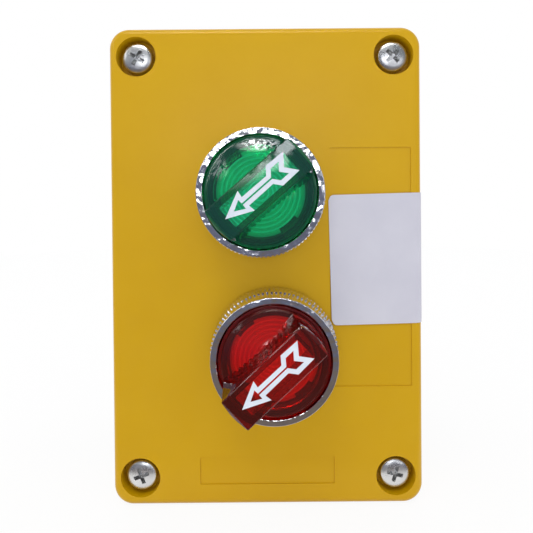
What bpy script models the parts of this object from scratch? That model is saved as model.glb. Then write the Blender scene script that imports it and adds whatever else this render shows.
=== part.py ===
"""Two-gang selector switch box: a wall enclosure with two lit two-position selector switches.

The origin is the centre of the back face, which lies against the wall. X is to the right,
Z is up and the front faces -Y. Every piece is drawn in a wall frame of its own, with x to
the right, y up and z out of the wall towards the user, and hangs on an empty that turns
that frame upright. Lengths are in metres, angles in degrees.
"""
import math

import bmesh
import bpy

# Clearances
FIT = 0.0003
GLUE = 0.00005
WELD = 0.000001

# Enclosure
BOX_WIDTH = 0.0790
BOX_HEIGHT = 0.1214
BASE_DEPTH = 0.0420
COVER_DEPTH = 0.0217
CORNER_RADIUS = 0.0050
FRONT_FILLET = 0.0019
BACK_FILLET = 0.0010
SIDE_WALL = 0.0030
PANEL_WALL = 0.0030
FLOOR_WALL = 0.0030
SEAL_WIDTH = 0.0009
SEAL_HEIGHT = 0.0012
LABEL_RECESS = (0.0206, 0.0606)
LABEL_RECESS_AT = (0.0264, -0.0002)
NAME_RECESS = (0.0342, 0.0070)
NAME_RECESS_AT = (-0.0002, -0.0517)
RECESS_DEPTH = 0.0003
KNOCKOUT_RADIUS = 0.0102
KNOCKOUT_DEPTH = 0.0012
WALL_HOLE_RADIUS = 0.0026
WALL_HOLE_SPAN = (0.0520, 0.0840)
WALL_BOSS_RADIUS = 0.0050
WALL_BOSS_HEIGHT = 0.0020

# Cover screws and their posts
SCREW_INSET_X = 0.0070
SCREW_INSET_Y = 0.0073
SCREW_HEAD_RADIUS = 0.0038
SCREW_HEAD_HEIGHT = 0.0024
SCREW_HEAD_ROUND = 0.00144
SCREW_HEAD_SINK = 0.0017
SCREW_SHANK_RADIUS = 0.0019
SCREW_LENGTH = 0.0280
SCREW_TIP_RADIUS = 0.0008
CROSS_WIDTH = 0.0009
CROSS_SPAN = 0.0042
CROSS_DEPTH = 0.0016
COUNTERBORE_RADIUS = 0.0050
POST_WALL = 0.0016
SCREW_TURNS = (60.0, 45.0, 20.0, 75.0)

# Label sticker on the right-hand side of the cover
STICKER_LEFT = 0.0161
STICKER_HEIGHT = 0.0330
STICKER_CENTRE_Y = 0.0016
STICKER_TILT = 1.2
STICKER_SIDE = 0.0120
STICKER_THICKNESS = 0.00015
STICKER_CORNER = 0.0014

# Selector switches: where they sit on the cover and how far each is skewed in its hole
SWITCHES = (
    ("green", (-0.0011, 0.0184), -4.0, (0.0, 0.32, 0.13, 1.0)),
    ("red", (0.0018, -0.0207), -2.0, (0.42, 0.01, 0.01, 1.0)),
)
POINTER_REST = 225.0
SWITCH_TRAVEL = 90.0

# Chrome bezel ring, which surrounds the barrel's head
BEZEL_RIM_WALL = 0.00145
BEZEL_TAPER = 0.00115
BEZEL_HEIGHT = 0.0120
BEZEL_EDGE = 0.0003
KNURL_START = 0.0010
KNURL_END = 0.0090
KNURL_ROWS = 2
KNURL_COUNT = 36
KNURL_DEPTH = 0.00035
PANEL_GASKET_OVERHANG = 0.0015
PANEL_GASKET_THICKNESS = 0.0008

# Barrel that passes through the panel, and what clamps it
BARREL_RADIUS = 0.01095
BARREL_BORE_RADIUS = 0.0096
BARREL_REAR = 0.0116
BARREL_HEAD_RADIUS = 0.0131
BARREL_HEAD_WALL = 0.0008
BARREL_HEAD_FLOOR = 0.0019
BARREL_HEAD_TOP = 0.0089
LOCKNUT_WALL = 0.00275
LOCKNUT_THICKNESS = 0.0040

# Translucent knob with its grip bar
KNOB_WALL = 0.0014
KNOB_FLANGE_TOP = 0.0116
KNOB_STEP_INSET = 0.0009
KNOB_STEP_TOP = 0.0129
KNOB_DOME_INSET = 0.0005
KNOB_DOME_TOP = 0.0158
GRIP_WIDTH = 0.0079
GRIP_TOP = 0.0235
GRIP_END_INSET = 0.0001
GRIP_END_FLAT = 0.0007
GRIP_FACET_DROP = 0.0009
GRIP_DRAFT = 0.00095
GRIP_SIDE_WALL = 0.0013
GRIP_END_WALL = 0.0024
RIB_COUNT = 11
RIB_MARGIN = 0.00315
RIB_DEPTH = 0.0004
RIB_TOP = 0.0218

# Diffuser and the keys that turn it and the rotor with the knob
DIFFUSER_TOP = 0.0090
DIFFUSER_THICKNESS = 0.0012
DIFFUSER_RIDGES = 3
DIFFUSER_RIDGE_HEIGHT = 0.0003
NOTCH_ANGLE = 29.0
NOTCH_DEPTH = 0.0010

# Cam rotor: two ramps on its rear face press both contact plungers as it turns
ROTOR_BORE_RADIUS = 0.0063
ROTOR_HEAD_WALL = 0.0015
CAM_LOW = 0.0136
CAM_RISE = 0.0025
CAM_DWELL = 15.0
CAM_RETURN = 45.0
CLIP_WIDTH = 0.0023
CLIP_THICKNESS = 0.0008
CLIP_GROOVE = 0.0011
CLIP_OPENING = 40.0

# Block carrier, lamp holder and contact blocks
CARRIER_FRONT = 0.0076
CARRIER_DEPTH = 0.0094
CARRIER_CORNER = 0.0020
CARRIER_POCKET_RADIUS = 0.0120
BLOCK_WIDTH = 0.0099
BLOCK_LENGTH = 0.0280
BLOCK_DEPTH = 0.0200
BLOCK_WALL = 0.0010
BLOCK_FRONT_WALL = 0.0020
BLOCK_REAR_WALL = 0.0015
BLOCK_EDGE = 0.0005
POCKET_LENGTH = 0.0038
POCKET_SIDE_WALL = 0.0016
HOLDER_WIDTH = 0.0079
SOCKET_DEPTH = 0.0080
LAMP_BASE_RADIUS = 0.0029
LAMP_BULB_RADIUS = 0.0032
LAMP_TOP = 0.0040
LAMP_BASE_TOP = 0.0150

# Plungers, contact bridges, fixed contacts and return springs
PLUNGER_SIZE = (0.0026, 0.0040)
PLUNGER_TIP_LENGTH = 0.0012
PLUNGER_TIP_DROP = 0.0006
PLUNGER_PIN = 0.0014
PLUNGER_PIN_LENGTH = 0.0025
BRIDGE_SIZE = (0.0030, 0.0140)
CONTACT_THICKNESS = 0.0008
CONTACT_GAP = 0.0028
CONTACT_INNER = 0.0045
BRIDGE_TOP = 0.0271
TERMINAL_HOLE_RADIUS = 0.0009
SPRING_RADIUS = 0.0015
SPRING_WIRE_RADIUS = 0.0002
SPRING_TURNS = 4

# Facets
ROUND_STEPS = 36
INNER_STEPS = 24
SMALL_STEPS = 12
CORNER_STEPS = 4
FILLET_STEPS = 3
POST_STEPS = 6
DOME_STEPS = 3
GRIP_END_STEPS = 4
ARC_STEPS = 3
EDGE_STEPS = 1
SCREW_EDGE_STEPS = 2
SPRING_STEPS = 6
SMOOTH_ANGLE = 35.0
KNURL_SMOOTH_ANGLE = 20.0

# Derived sizes shared between pieces
HALF_WIDTH = BOX_WIDTH / 2
HALF_HEIGHT = BOX_HEIGHT / 2
COVER_REAR = BASE_DEPTH + FIT
FACE = COVER_REAR + COVER_DEPTH
SCREW_X = HALF_WIDTH - SCREW_INSET_X
SCREW_Y = HALF_HEIGHT - SCREW_INSET_Y
POST_RADIUS = COUNTERBORE_RADIUS + POST_WALL
SHANK_HOLE_RADIUS = SCREW_SHANK_RADIUS + FIT
BEZEL_BORE = BARREL_HEAD_RADIUS + FIT
BEZEL_RIM_RADIUS = BEZEL_BORE + BEZEL_RIM_WALL
BEZEL_FOOT_RADIUS = BEZEL_RIM_RADIUS + BEZEL_TAPER
PANEL_GASKET_RADIUS = BARREL_HEAD_RADIUS + PANEL_GASKET_OVERHANG
LOCKNUT_FLAT_RADIUS = BARREL_RADIUS + FIT + LOCKNUT_WALL
HEAD_SEAT = FIT + PANEL_GASKET_THICKNESS + FIT
HEAD_FLOOR_TOP = HEAD_SEAT + BARREL_HEAD_FLOOR
KNOB_FLANGE_BOTTOM = BARREL_HEAD_TOP + FIT
KNOB_STEP_RADIUS = BARREL_HEAD_RADIUS - KNOB_STEP_INSET
KNOB_DOME_RADIUS = KNOB_STEP_RADIUS - KNOB_DOME_INSET
GRIP_END_RADIUS = KNOB_STEP_RADIUS - GRIP_END_INSET
GRIP_LENGTH = 2 * (GRIP_END_RADIUS - GRIP_END_FLAT)
RIB_PITCH = (GRIP_LENGTH - 2 * RIB_MARGIN) / RIB_COUNT
SKIRT_RADIUS = BARREL_HEAD_RADIUS - BARREL_HEAD_WALL - FIT
SKIRT_BORE = SKIRT_RADIUS - KNOB_WALL
INSERT_RADIUS = SKIRT_BORE - FIT
ROTOR_RADIUS = BARREL_BORE_RADIUS - FIT
DIFFUSER_BOTTOM = DIFFUSER_TOP - DIFFUSER_THICKNESS
ROTOR_HEAD_TOP = DIFFUSER_BOTTOM - FIT
NOTCH_FLOOR = INSERT_RADIUS - NOTCH_DEPTH
KEY_ANGLE = NOTCH_ANGLE - 2 * math.degrees(FIT / NOTCH_FLOOR)
CAM_RADIUS = (ROTOR_BORE_RADIUS + ROTOR_RADIUS) / 2
CLIP_TOP = BARREL_REAR + FIT
BLOCK_FRONT = CARRIER_FRONT + CARRIER_DEPTH + FIT
BLOCK_INNER_X = HOLDER_WIDTH / 2 + FIT
CARRIER_WIDTH = 2 * (BLOCK_INNER_X + BLOCK_WIDTH)
CAVITY_LENGTH = BLOCK_LENGTH - 2 * (POCKET_LENGTH + 2 * BLOCK_WALL)
BRIDGE_BOTTOM = BRIDGE_TOP + CONTACT_THICKNESS
COLLAR_HEIGHT = BRIDGE_TOP - FIT
SPRING_SEAT = BLOCK_FRONT + BLOCK_DEPTH - BLOCK_REAR_WALL - FIT


def empty(name, parent=None, location=(0.0, 0.0, 0.0), turn=(0.0, 0.0, 0.0)):
    """An axis holder that pieces are parented to."""
    holder = bpy.data.objects.new(name, None)
    bpy.context.scene.collection.objects.link(holder)
    holder.parent = parent
    holder.location = location
    holder.rotation_euler = [math.radians(angle) for angle in turn]
    return holder


def material(name, colour, roughness, metallic=0.0, transmission=0.0):
    """A plain surface finish, made once per name."""
    finish = bpy.data.materials.get(name)
    if finish is None:
        finish = bpy.data.materials.new(name)
        finish.use_nodes = True
        surface = finish.node_tree.nodes["Principled BSDF"]
        surface.inputs["Base Color"].default_value = colour
        surface.inputs["Roughness"].default_value = roughness
        surface.inputs["Metallic"].default_value = metallic
        surface.inputs["Transmission Weight"].default_value = transmission
        finish.diffuse_color = colour
        finish.metallic = metallic
        finish.roughness = roughness
    return finish


def yellow_plastic():
    return material("yellow_plastic", (0.66, 0.36, 0.01, 1.0), 0.45)


def black_plastic():
    return material("black_plastic", (0.02, 0.02, 0.022, 1.0), 0.5)


def grey_plastic():
    return material("grey_plastic", (0.20, 0.21, 0.22, 1.0), 0.5)


def rubber():
    return material("rubber", (0.03, 0.03, 0.03, 1.0), 0.8)


def steel():
    return material("zinc_steel", (0.62, 0.62, 0.60, 1.0), 0.3, 1.0)


def chrome():
    return material("chrome", (0.82, 0.82, 0.83, 1.0), 0.12, 1.0)


def copper():
    return material("contact_alloy", (0.70, 0.45, 0.24, 1.0), 0.3, 1.0)


def white_film():
    return material("white_film", (0.62, 0.61, 0.68, 1.0), 0.5)


def place(name, bm, parent, finish, smooth_angle=SMOOTH_ANGLE):
    """Turns a finished bmesh into a named object with outward faces under its parent."""
    bmesh.ops.recalc_face_normals(bm, faces=bm.faces)
    mesh = bpy.data.meshes.new(name)
    bm.to_mesh(mesh)
    bm.free()
    mesh.shade_smooth()
    mesh.set_sharp_from_angle(angle=math.radians(smooth_angle))
    piece = bpy.data.objects.new(name, mesh)
    bpy.context.scene.collection.objects.link(piece)
    piece.parent = parent
    if finish is not None:
        mesh.materials.append(finish)
    return piece


def combine(piece, tools, operation="DIFFERENCE"):
    """Cuts or joins the tool shapes, which stay as hidden guides."""
    for tool in tools:
        tool.hide_render = True
        tool.display_type = "WIRE"
        step = piece.modifiers.new(tool.name, "BOOLEAN")
        step.operation = operation
        step.solver = "EXACT"
        step.object = tool
    return piece


def lofted(name, sections, parent, finish=None):
    """Skins a closed solid over outlines of equal point count, each given with its height."""
    bm = bmesh.new()
    rings = [[bm.verts.new((x, y, z)) for x, y in outline] for outline, z in sections]
    for lower, upper in zip(rings, rings[1:]):
        for i in range(len(lower)):
            j = (i + 1) % len(lower)
            bm.faces.new((lower[i], lower[j], upper[j], upper[i]))
    bm.faces.new(rings[0][::-1])
    bm.faces.new(rings[-1])
    bent = [face for face in bm.faces if len(sections) > 2 and len(face.verts) == 4]
    bmesh.ops.triangulate(bm, faces=bent)
    return place(name, bm, parent, finish)


def prism(name, outline, bottom, top, parent, finish=None):
    """An outline pulled straight from one height to another."""
    return lofted(name, ((outline, bottom), (outline, top)), parent, finish)


def box(name, centre, size, bottom, top, parent, finish=None):
    """A rectangular bar about a centre in the panel's plane."""
    return prism(name, rectangle(size[0] / 2, size[1] / 2, centre), bottom, top, parent, finish)


def turned(name, profile, steps, parent, finish=None, sweep=360.0):
    """Spins a profile of (radius, height) points about the z axis."""
    bm = bmesh.new()
    points = [bm.verts.new((radius, 0.0, height)) for radius, height in profile]
    if sweep < 360.0:
        start = [bm.faces.new(points)]
    else:
        on_axis = profile[0][0] == 0.0 and profile[-1][0] == 0.0
        ends = points[1:] if on_axis else points[1:] + points[:1]
        start = points + [bm.edges.new(pair) for pair in zip(points, ends)]
    bmesh.ops.spin(
        bm, geom=start, axis=(0.0, 0.0, 1.0), cent=(0.0, 0.0, 0.0),
        angle=math.radians(sweep), steps=steps, use_merge=sweep == 360.0,
    )
    bmesh.ops.remove_doubles(bm, verts=bm.verts, dist=WELD)
    return place(name, bm, parent, finish)


def drill(name, centre, radius, bottom, top, parent, steps=INNER_STEPS):
    """A round cutter."""
    outline = arc(centre, radius, 0.0, 360.0, steps)[:-1]
    return prism(name, outline, bottom, top, parent)


def arc(centre, radius, start, end, steps):
    """Points along an arc, both ends included."""
    angles = [math.radians(start + (end - start) * i / steps) for i in range(steps + 1)]
    return [(centre[0] + radius * math.cos(a), centre[1] + radius * math.sin(a)) for a in angles]


def rectangle(half_x, half_y, centre=(0.0, 0.0)):
    corners = ((1, 1), (-1, 1), (-1, -1), (1, -1))
    return [(centre[0] + sx * half_x, centre[1] + sy * half_y) for sx, sy in corners]


def rounded_rectangle(half_x, half_y, radius, steps=CORNER_STEPS):
    """Counter-clockwise rectangle with round corners."""
    outline = []
    for turn, (sx, sy) in enumerate(((1, 1), (-1, 1), (-1, -1), (1, -1))):
        centre = (sx * (half_x - radius), sy * (half_y - radius))
        outline += arc(centre, radius, 90.0 * turn, 90.0 * turn + 90.0, steps)
    return outline


def filleted_block(name, bottom, top, bottom_fillet, top_fillet, parent, finish):
    """The enclosure's outer form: straight sides, with its end edges rounded."""
    sections = []
    angles = [90.0 * i / FILLET_STEPS for i in range(FILLET_STEPS + 1)]
    levels = [(bottom_fillet, angle, -1) for angle in reversed(angles)] if bottom_fillet else []
    levels += [(0.0, 0.0, -1)] if not bottom_fillet else []
    levels += [(top_fillet, angle, 1) for angle in angles] if top_fillet else [(0.0, 0.0, 1)]
    for fillet, angle, side in levels:
        inset = fillet * (1 - math.cos(math.radians(angle)))
        rise = fillet * (1 - math.sin(math.radians(angle)))
        height = top - rise if side > 0 else bottom + rise
        outline = rounded_rectangle(HALF_WIDTH - inset, HALF_HEIGHT - inset, CORNER_RADIUS - inset)
        sections.append((outline, height))
    return lofted(name, sections, parent, finish)


def cavity_outline(post_radius):
    """The enclosure's inside wall, which runs round the inner side of each screw post."""
    half_x = HALF_WIDTH - SIDE_WALL
    half_y = HALF_HEIGHT - SIDE_WALL
    rise = math.sqrt(post_radius**2 - (half_x - SCREW_X) ** 2)
    reach = math.sqrt(post_radius**2 - (half_y - SCREW_Y) ** 2)
    start = math.degrees(math.atan2(-rise, half_x - SCREW_X))
    end = math.degrees(math.atan2(half_y - SCREW_Y, -reach)) - 360.0
    corner = arc((SCREW_X, SCREW_Y), post_radius, start, end, POST_STEPS)
    outline = list(corner)
    outline += [(-x, y) for x, y in reversed(corner)]
    outline += [(-x, -y) for x, y in corner]
    outline += [(x, -y) for x, y in reversed(corner)]
    return outline


def screw_places():
    """The four cover screws: name, centre and how far the cross is turned."""
    corners = (("top_left", -1, 1), ("top_right", 1, 1), ("bottom_left", -1, -1), ("bottom_right", 1, -1))
    for (name, sx, sy), turn in zip(corners, SCREW_TURNS):
        yield name, (sx * SCREW_X, sy * SCREW_Y), turn


def make_cover(wall):
    """The moulded cover: filleted shell, screw posts, counterbores, recesses and switch holes."""
    cover = filleted_block("cover", COVER_REAR, FACE, 0.0, FRONT_FILLET, wall, yellow_plastic())
    head_seat = FACE - SCREW_HEAD_SINK - SCREW_HEAD_HEIGHT - FIT
    cutters = [
        prism("cover_cavity", cavity_outline(POST_RADIUS), COVER_REAR - FIT, FACE - PANEL_WALL, wall),
        box("label_recess", LABEL_RECESS_AT, LABEL_RECESS, FACE - RECESS_DEPTH, FACE + FIT, wall),
        box("name_recess", NAME_RECESS_AT, NAME_RECESS, FACE - RECESS_DEPTH, FACE + FIT, wall),
    ]
    for name, centre, _ in screw_places():
        cutters.append(drill("counterbore_" + name, centre, COUNTERBORE_RADIUS, head_seat,
                             FACE + FIT, wall))
        cutters.append(drill("clear_" + name, centre, SHANK_HOLE_RADIUS, COVER_REAR - FIT,
                             head_seat + FIT, wall, SMALL_STEPS))
    for name, centre, _, _ in SWITCHES:
        cutters.append(drill(name + "_hole", centre, BARREL_RADIUS + FIT, FACE - PANEL_WALL - FIT,
                             FACE + FIT, wall, ROUND_STEPS))
    return combine(cover, cutters)


def make_base(wall):
    """The base: floor with wall holes on bosses, pilot posts, seal groove and knock-outs."""
    base = filleted_block("base", 0.0, BASE_DEPTH, BACK_FILLET, 0.0, wall, black_plastic())
    hole_x, hole_y = WALL_HOLE_SPAN[0] / 2, WALL_HOLE_SPAN[1] / 2
    cavity = prism("base_cavity", cavity_outline(POST_RADIUS), FLOOR_WALL, BASE_DEPTH + FIT, wall)
    combine(base, [cavity])
    bosses = []
    holes = []
    for i, centre in enumerate(rectangle(hole_x, hole_y)):
        bosses.append(drill(f"boss_{i}", centre, WALL_BOSS_RADIUS, FLOOR_WALL / 2,
                            FLOOR_WALL + WALL_BOSS_HEIGHT, wall, SMALL_STEPS))
        holes.append(drill(f"wall_hole_{i}", centre, WALL_HOLE_RADIUS, -FIT,
                           FLOOR_WALL + WALL_BOSS_HEIGHT + FIT, wall, SMALL_STEPS))
    combine(base, bosses, "UNION")
    screw_tip = FACE - SCREW_HEAD_SINK - SCREW_HEAD_HEIGHT - SCREW_LENGTH
    for name, centre, _ in screw_places():
        holes.append(drill("pilot_" + name, centre, SHANK_HOLE_RADIUS, screw_tip - FIT, BASE_DEPTH + FIT,
                           wall, SMALL_STEPS))
    for name, side in (("knockout_top", 1), ("knockout_bottom", -1)):
        holes.append(knockout_cutter(name, side, wall))
    groove_centre = SIDE_WALL / 2
    groove_half = SEAL_WIDTH / 2 + FIT
    groove_floor = BASE_DEPTH - SEAL_HEIGHT - FIT
    holes.append(seal_ring("seal_groove", groove_centre, groove_half, groove_floor, BASE_DEPTH + FIT, wall))
    return combine(base, holes)


def knockout_cutter(name, side, wall):
    """The round sunken disc in the top or bottom wall where a cable entry is broken out."""
    depth = BASE_DEPTH / 2
    outer = side * (HALF_HEIGHT + FIT)
    inner = side * (HALF_HEIGHT - KNOCKOUT_DEPTH)
    disc = drill(name, (0.0, 0.0), KNOCKOUT_RADIUS, 0.0, abs(outer - inner), wall)
    disc.location = (0.0, outer if side > 0 else inner, depth)
    disc.rotation_euler = (math.radians(90.0), 0.0, 0.0)
    return disc


def seal_ring(name, inset, half_width, bottom, top, wall, finish=None):
    """A rectangular ring that runs along the middle of the side wall."""
    bm = bmesh.new()
    loops = []
    for offset in (inset - half_width, inset + half_width):
        outline = rounded_rectangle(HALF_WIDTH - offset, HALF_HEIGHT - offset, CORNER_RADIUS - offset)
        loops.append([[bm.verts.new((x, y, z)) for x, y in outline] for z in (bottom, top)])
    (outer_low, outer_high), (inner_low, inner_high) = loops
    around = (outer_low, outer_high, inner_high, inner_low, outer_low)
    for near, far in zip(around, around[1:]):
        for i in range(len(near)):
            j = (i + 1) % len(near)
            bm.faces.new((near[i], near[j], far[j], far[i]))
    return place(name, bm, wall, finish)


def make_cover_gasket(wall):
    """The rubber seal that lies in the base's groove and meets the cover's rim."""
    bottom = BASE_DEPTH - SEAL_HEIGHT
    return seal_ring("cover_gasket", SIDE_WALL / 2, SEAL_WIDTH / 2, bottom, BASE_DEPTH, wall, rubber())


def make_cover_screw(name, centre, turn, wall):
    """A pan-head screw with a cross recess, sunk in its counterbore."""
    top = FACE - SCREW_HEAD_SINK
    under = top - SCREW_HEAD_HEIGHT
    tip = under - SCREW_LENGTH
    round_centre = (SCREW_HEAD_RADIUS - SCREW_HEAD_ROUND, top - SCREW_HEAD_ROUND)
    profile = [
        (0.0, top),
        *arc(round_centre, SCREW_HEAD_ROUND, 90.0, 0.0, SCREW_EDGE_STEPS),
        (SCREW_HEAD_RADIUS, under),
        (SCREW_SHANK_RADIUS, under),
        (SCREW_SHANK_RADIUS, tip + SCREW_SHANK_RADIUS),
        (SCREW_TIP_RADIUS, tip),
        (0.0, tip),
    ]
    screw = turned("cover_screw_" + name, profile, SMALL_STEPS, wall, steel())
    screw.location = (*centre, 0.0)
    screw.rotation_euler = (0.0, 0.0, math.radians(turn))
    slots = []
    for arm, size in (("a", (CROSS_SPAN, CROSS_WIDTH)), ("b", (CROSS_WIDTH, CROSS_SPAN))):
        slot = box(f"cross_{arm}_{name}", (0.0, 0.0), size, top - CROSS_DEPTH, top + FIT, wall)
        slot.location = screw.location
        slot.rotation_euler = screw.rotation_euler
        slots.append(slot)
    return combine(screw, slots)


def make_sticker(wall):
    """The blank label: a thin film stuck on the face, folded round the right edge down the side."""
    tilt = math.tan(math.radians(STICKER_TILT))
    flat_end = HALF_WIDTH - FRONT_FILLET
    bend_radius = FRONT_FILLET + GLUE
    corner = arc((STICKER_CORNER, 0.0), STICKER_CORNER, 180.0, 90.0, ARC_STEPS)
    round_in = [inset for inset, _ in corner]
    columns = [(STICKER_LEFT + inset, STICKER_HEIGHT / 2 - corner_drop(inset)) for inset in round_in]
    columns = [(x, FACE + GLUE, half) for x, half in columns]
    for i in range(FILLET_STEPS + 1):
        angle = math.radians(90.0 * i / FILLET_STEPS)
        x = flat_end + bend_radius * math.sin(angle)
        z = FACE - FRONT_FILLET + bend_radius * math.cos(angle)
        columns.append((x, z, STICKER_HEIGHT / 2))
    side_end = FACE - FRONT_FILLET - STICKER_SIDE
    for inset in reversed(round_in):
        half = STICKER_HEIGHT / 2 - corner_drop(inset)
        columns.append((HALF_WIDTH + GLUE, side_end + inset, half))
    bm = bmesh.new()
    pairs = []
    run = 0.0
    for i, (x, z, half) in enumerate(columns):
        if i:
            run += math.hypot(x - columns[i - 1][0], z - columns[i - 1][1])
        middle = STICKER_CENTRE_Y + run * tilt
        lean = tilt if x < flat_end else 0.0
        pairs.append([bm.verts.new((x - side * half * lean, middle + side * half, z)) for side in (-1, 1)])
    for (low, high), (next_low, next_high) in zip(pairs, pairs[1:]):
        bm.faces.new((low, next_low, next_high, high))
    bmesh.ops.recalc_face_normals(bm, faces=bm.faces)
    sticker = place("label_sticker", bm, wall, white_film())
    film = sticker.modifiers.new("film", "SOLIDIFY")
    film.thickness = STICKER_THICKNESS
    film.offset = 1.0
    return sticker


def corner_drop(inset):
    """How much a round corner shortens the sticker at this distance from its end."""
    return STICKER_CORNER - math.sqrt(max(STICKER_CORNER**2 - (STICKER_CORNER - inset) ** 2, 0.0))


def vertex_ring(bm, radii, height):
    """A level circle of vertices, one for each radius given."""
    step = math.tau / len(radii)
    return [bm.verts.new((radius * math.cos(i * step), radius * math.sin(i * step), height))
            for i, radius in enumerate(radii)]


def knurled_band(bm):
    """The cone's knurled band: rings with every other vertex sunk, so that diamonds stand between."""
    count = 2 * KNURL_COUNT
    taper = BEZEL_TAPER / (BEZEL_HEIGHT - BEZEL_EDGE - KNURL_START)
    spacing = (KNURL_END - KNURL_START) / (KNURL_ROWS + 1)
    rings = []
    for row in range(KNURL_ROWS + 2):
        rise = row * spacing
        sunk = KNURL_DEPTH if 0 < row <= KNURL_ROWS else 0.0
        radii = [BEZEL_FOOT_RADIUS - taper * rise - sunk * ((i + row) % 2) for i in range(count)]
        rings.append(vertex_ring(bm, radii, KNURL_START + rise))
    for row, (lower, upper) in enumerate(zip(rings, rings[1:])):
        for i in range(count):
            j = (i + 1) % count
            if (i + row) % 2:
                bm.faces.new((lower[i], lower[j], upper[i]))
                bm.faces.new((lower[j], upper[j], upper[i]))
            else:
                bm.faces.new((lower[i], lower[j], upper[j]))
                bm.faces.new((lower[i], upper[j], upper[i]))
    return rings[0], rings[-1]


def join_to_coarse(bm, fine, coarse):
    """Faces between a ring of vertices and one with half as many."""
    for i in range(len(coarse)):
        j = (i + 1) % len(coarse)
        first, middle, last = fine[2 * i], fine[2 * i + 1], fine[(2 * i + 2) % len(fine)]
        bm.faces.new((first, middle, coarse[i]))
        bm.faces.new((middle, coarse[j], coarse[i]))
        bm.faces.new((middle, last, coarse[j]))


def make_bezel(prefix, switch):
    """The chrome ring: a cone with a band of diamond knurling, open through the middle."""
    pocket = PANEL_GASKET_RADIUS + FIT
    profile = [
        (BEZEL_RIM_RADIUS, BEZEL_HEIGHT - BEZEL_EDGE),
        (BEZEL_RIM_RADIUS - BEZEL_EDGE, BEZEL_HEIGHT),
        (BEZEL_BORE + BEZEL_EDGE, BEZEL_HEIGHT),
        (BEZEL_BORE, BEZEL_HEIGHT - BEZEL_EDGE),
        (BEZEL_BORE, HEAD_SEAT),
        (pocket, HEAD_SEAT),
        (pocket, FIT),
        (BEZEL_FOOT_RADIUS, FIT),
    ]
    bm = bmesh.new()
    knurl_foot, knurl_top = knurled_band(bm)
    plain = [vertex_ring(bm, [radius] * KNURL_COUNT, height) for radius, height in profile]
    for near, far in zip(plain, plain[1:]):
        for i in range(KNURL_COUNT):
            j = (i + 1) % KNURL_COUNT
            bm.faces.new((near[i], near[j], far[j], far[i]))
    join_to_coarse(bm, knurl_top, plain[0])
    join_to_coarse(bm, knurl_foot, plain[-1])
    return place(prefix + "_bezel_ring", bm, switch, chrome(), KNURL_SMOOTH_ANGLE)


def make_panel_gasket(prefix, switch):
    """The flat rubber washer between the bezel and the cover."""
    inner = BARREL_RADIUS + FIT
    top = FIT + PANEL_GASKET_THICKNESS
    profile = [(inner, FIT), (PANEL_GASKET_RADIUS, FIT), (PANEL_GASKET_RADIUS, top), (inner, top)]
    return turned(prefix + "_panel_gasket", profile, INNER_STEPS, switch, rubber())


def make_barrel(prefix, switch):
    """The tube through the panel, with a cup-shaped head in front."""
    cup = BARREL_HEAD_RADIUS - BARREL_HEAD_WALL
    profile = [
        (BARREL_BORE_RADIUS, -BARREL_REAR),
        (BARREL_RADIUS, -BARREL_REAR),
        (BARREL_RADIUS, HEAD_SEAT),
        (BARREL_HEAD_RADIUS, HEAD_SEAT),
        (BARREL_HEAD_RADIUS, BARREL_HEAD_TOP),
        (cup, BARREL_HEAD_TOP),
        (cup, HEAD_FLOOR_TOP),
        (BARREL_BORE_RADIUS, HEAD_FLOOR_TOP),
    ]
    return turned(prefix + "_barrel", profile, INNER_STEPS, switch, grey_plastic())


def make_locknut(prefix, switch):
    """The six-sided nut that clamps the barrel from behind the cover."""
    front = -PANEL_WALL - FIT
    rear = front - LOCKNUT_THICKNESS
    corner = LOCKNUT_FLAT_RADIUS / math.cos(math.radians(30.0))
    outline = arc((0.0, 0.0), corner, 0.0, 360.0, 6)[:-1]
    nut = prism(prefix + "_locknut", outline, rear, front, switch, steel())
    hole = drill(prefix + "_locknut_hole", (0.0, 0.0), BARREL_RADIUS + FIT, rear - FIT, front + FIT, switch,
                 INNER_STEPS)
    return combine(nut, [hole])


def grip_outline(half_width, rib_depth, end_radius, end_x):
    """The grip bar's outline: ribbed flanks, and ends that are an arc or, with no radius, straight."""
    ribbed = RIB_COUNT * RIB_PITCH / 2
    flank = [(ribbed, half_width)]
    for rib in range(RIB_COUNT):
        x = ribbed - rib * RIB_PITCH
        flank.append((x - RIB_PITCH / 2, half_width + rib_depth))
        flank.append((x - RIB_PITCH, half_width))
    if end_radius:
        half_angle = math.degrees(math.asin(half_width / end_radius))
        end = arc((0.0, 0.0), end_radius, -half_angle, half_angle, GRIP_END_STEPS)
    else:
        end = [(end_x, half_width * (2 * i / GRIP_END_STEPS - 1)) for i in range(GRIP_END_STEPS + 1)]
    return end + flank + [(-x, -y) for x, y in end] + [(-x, -y) for x, y in flank]


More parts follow.
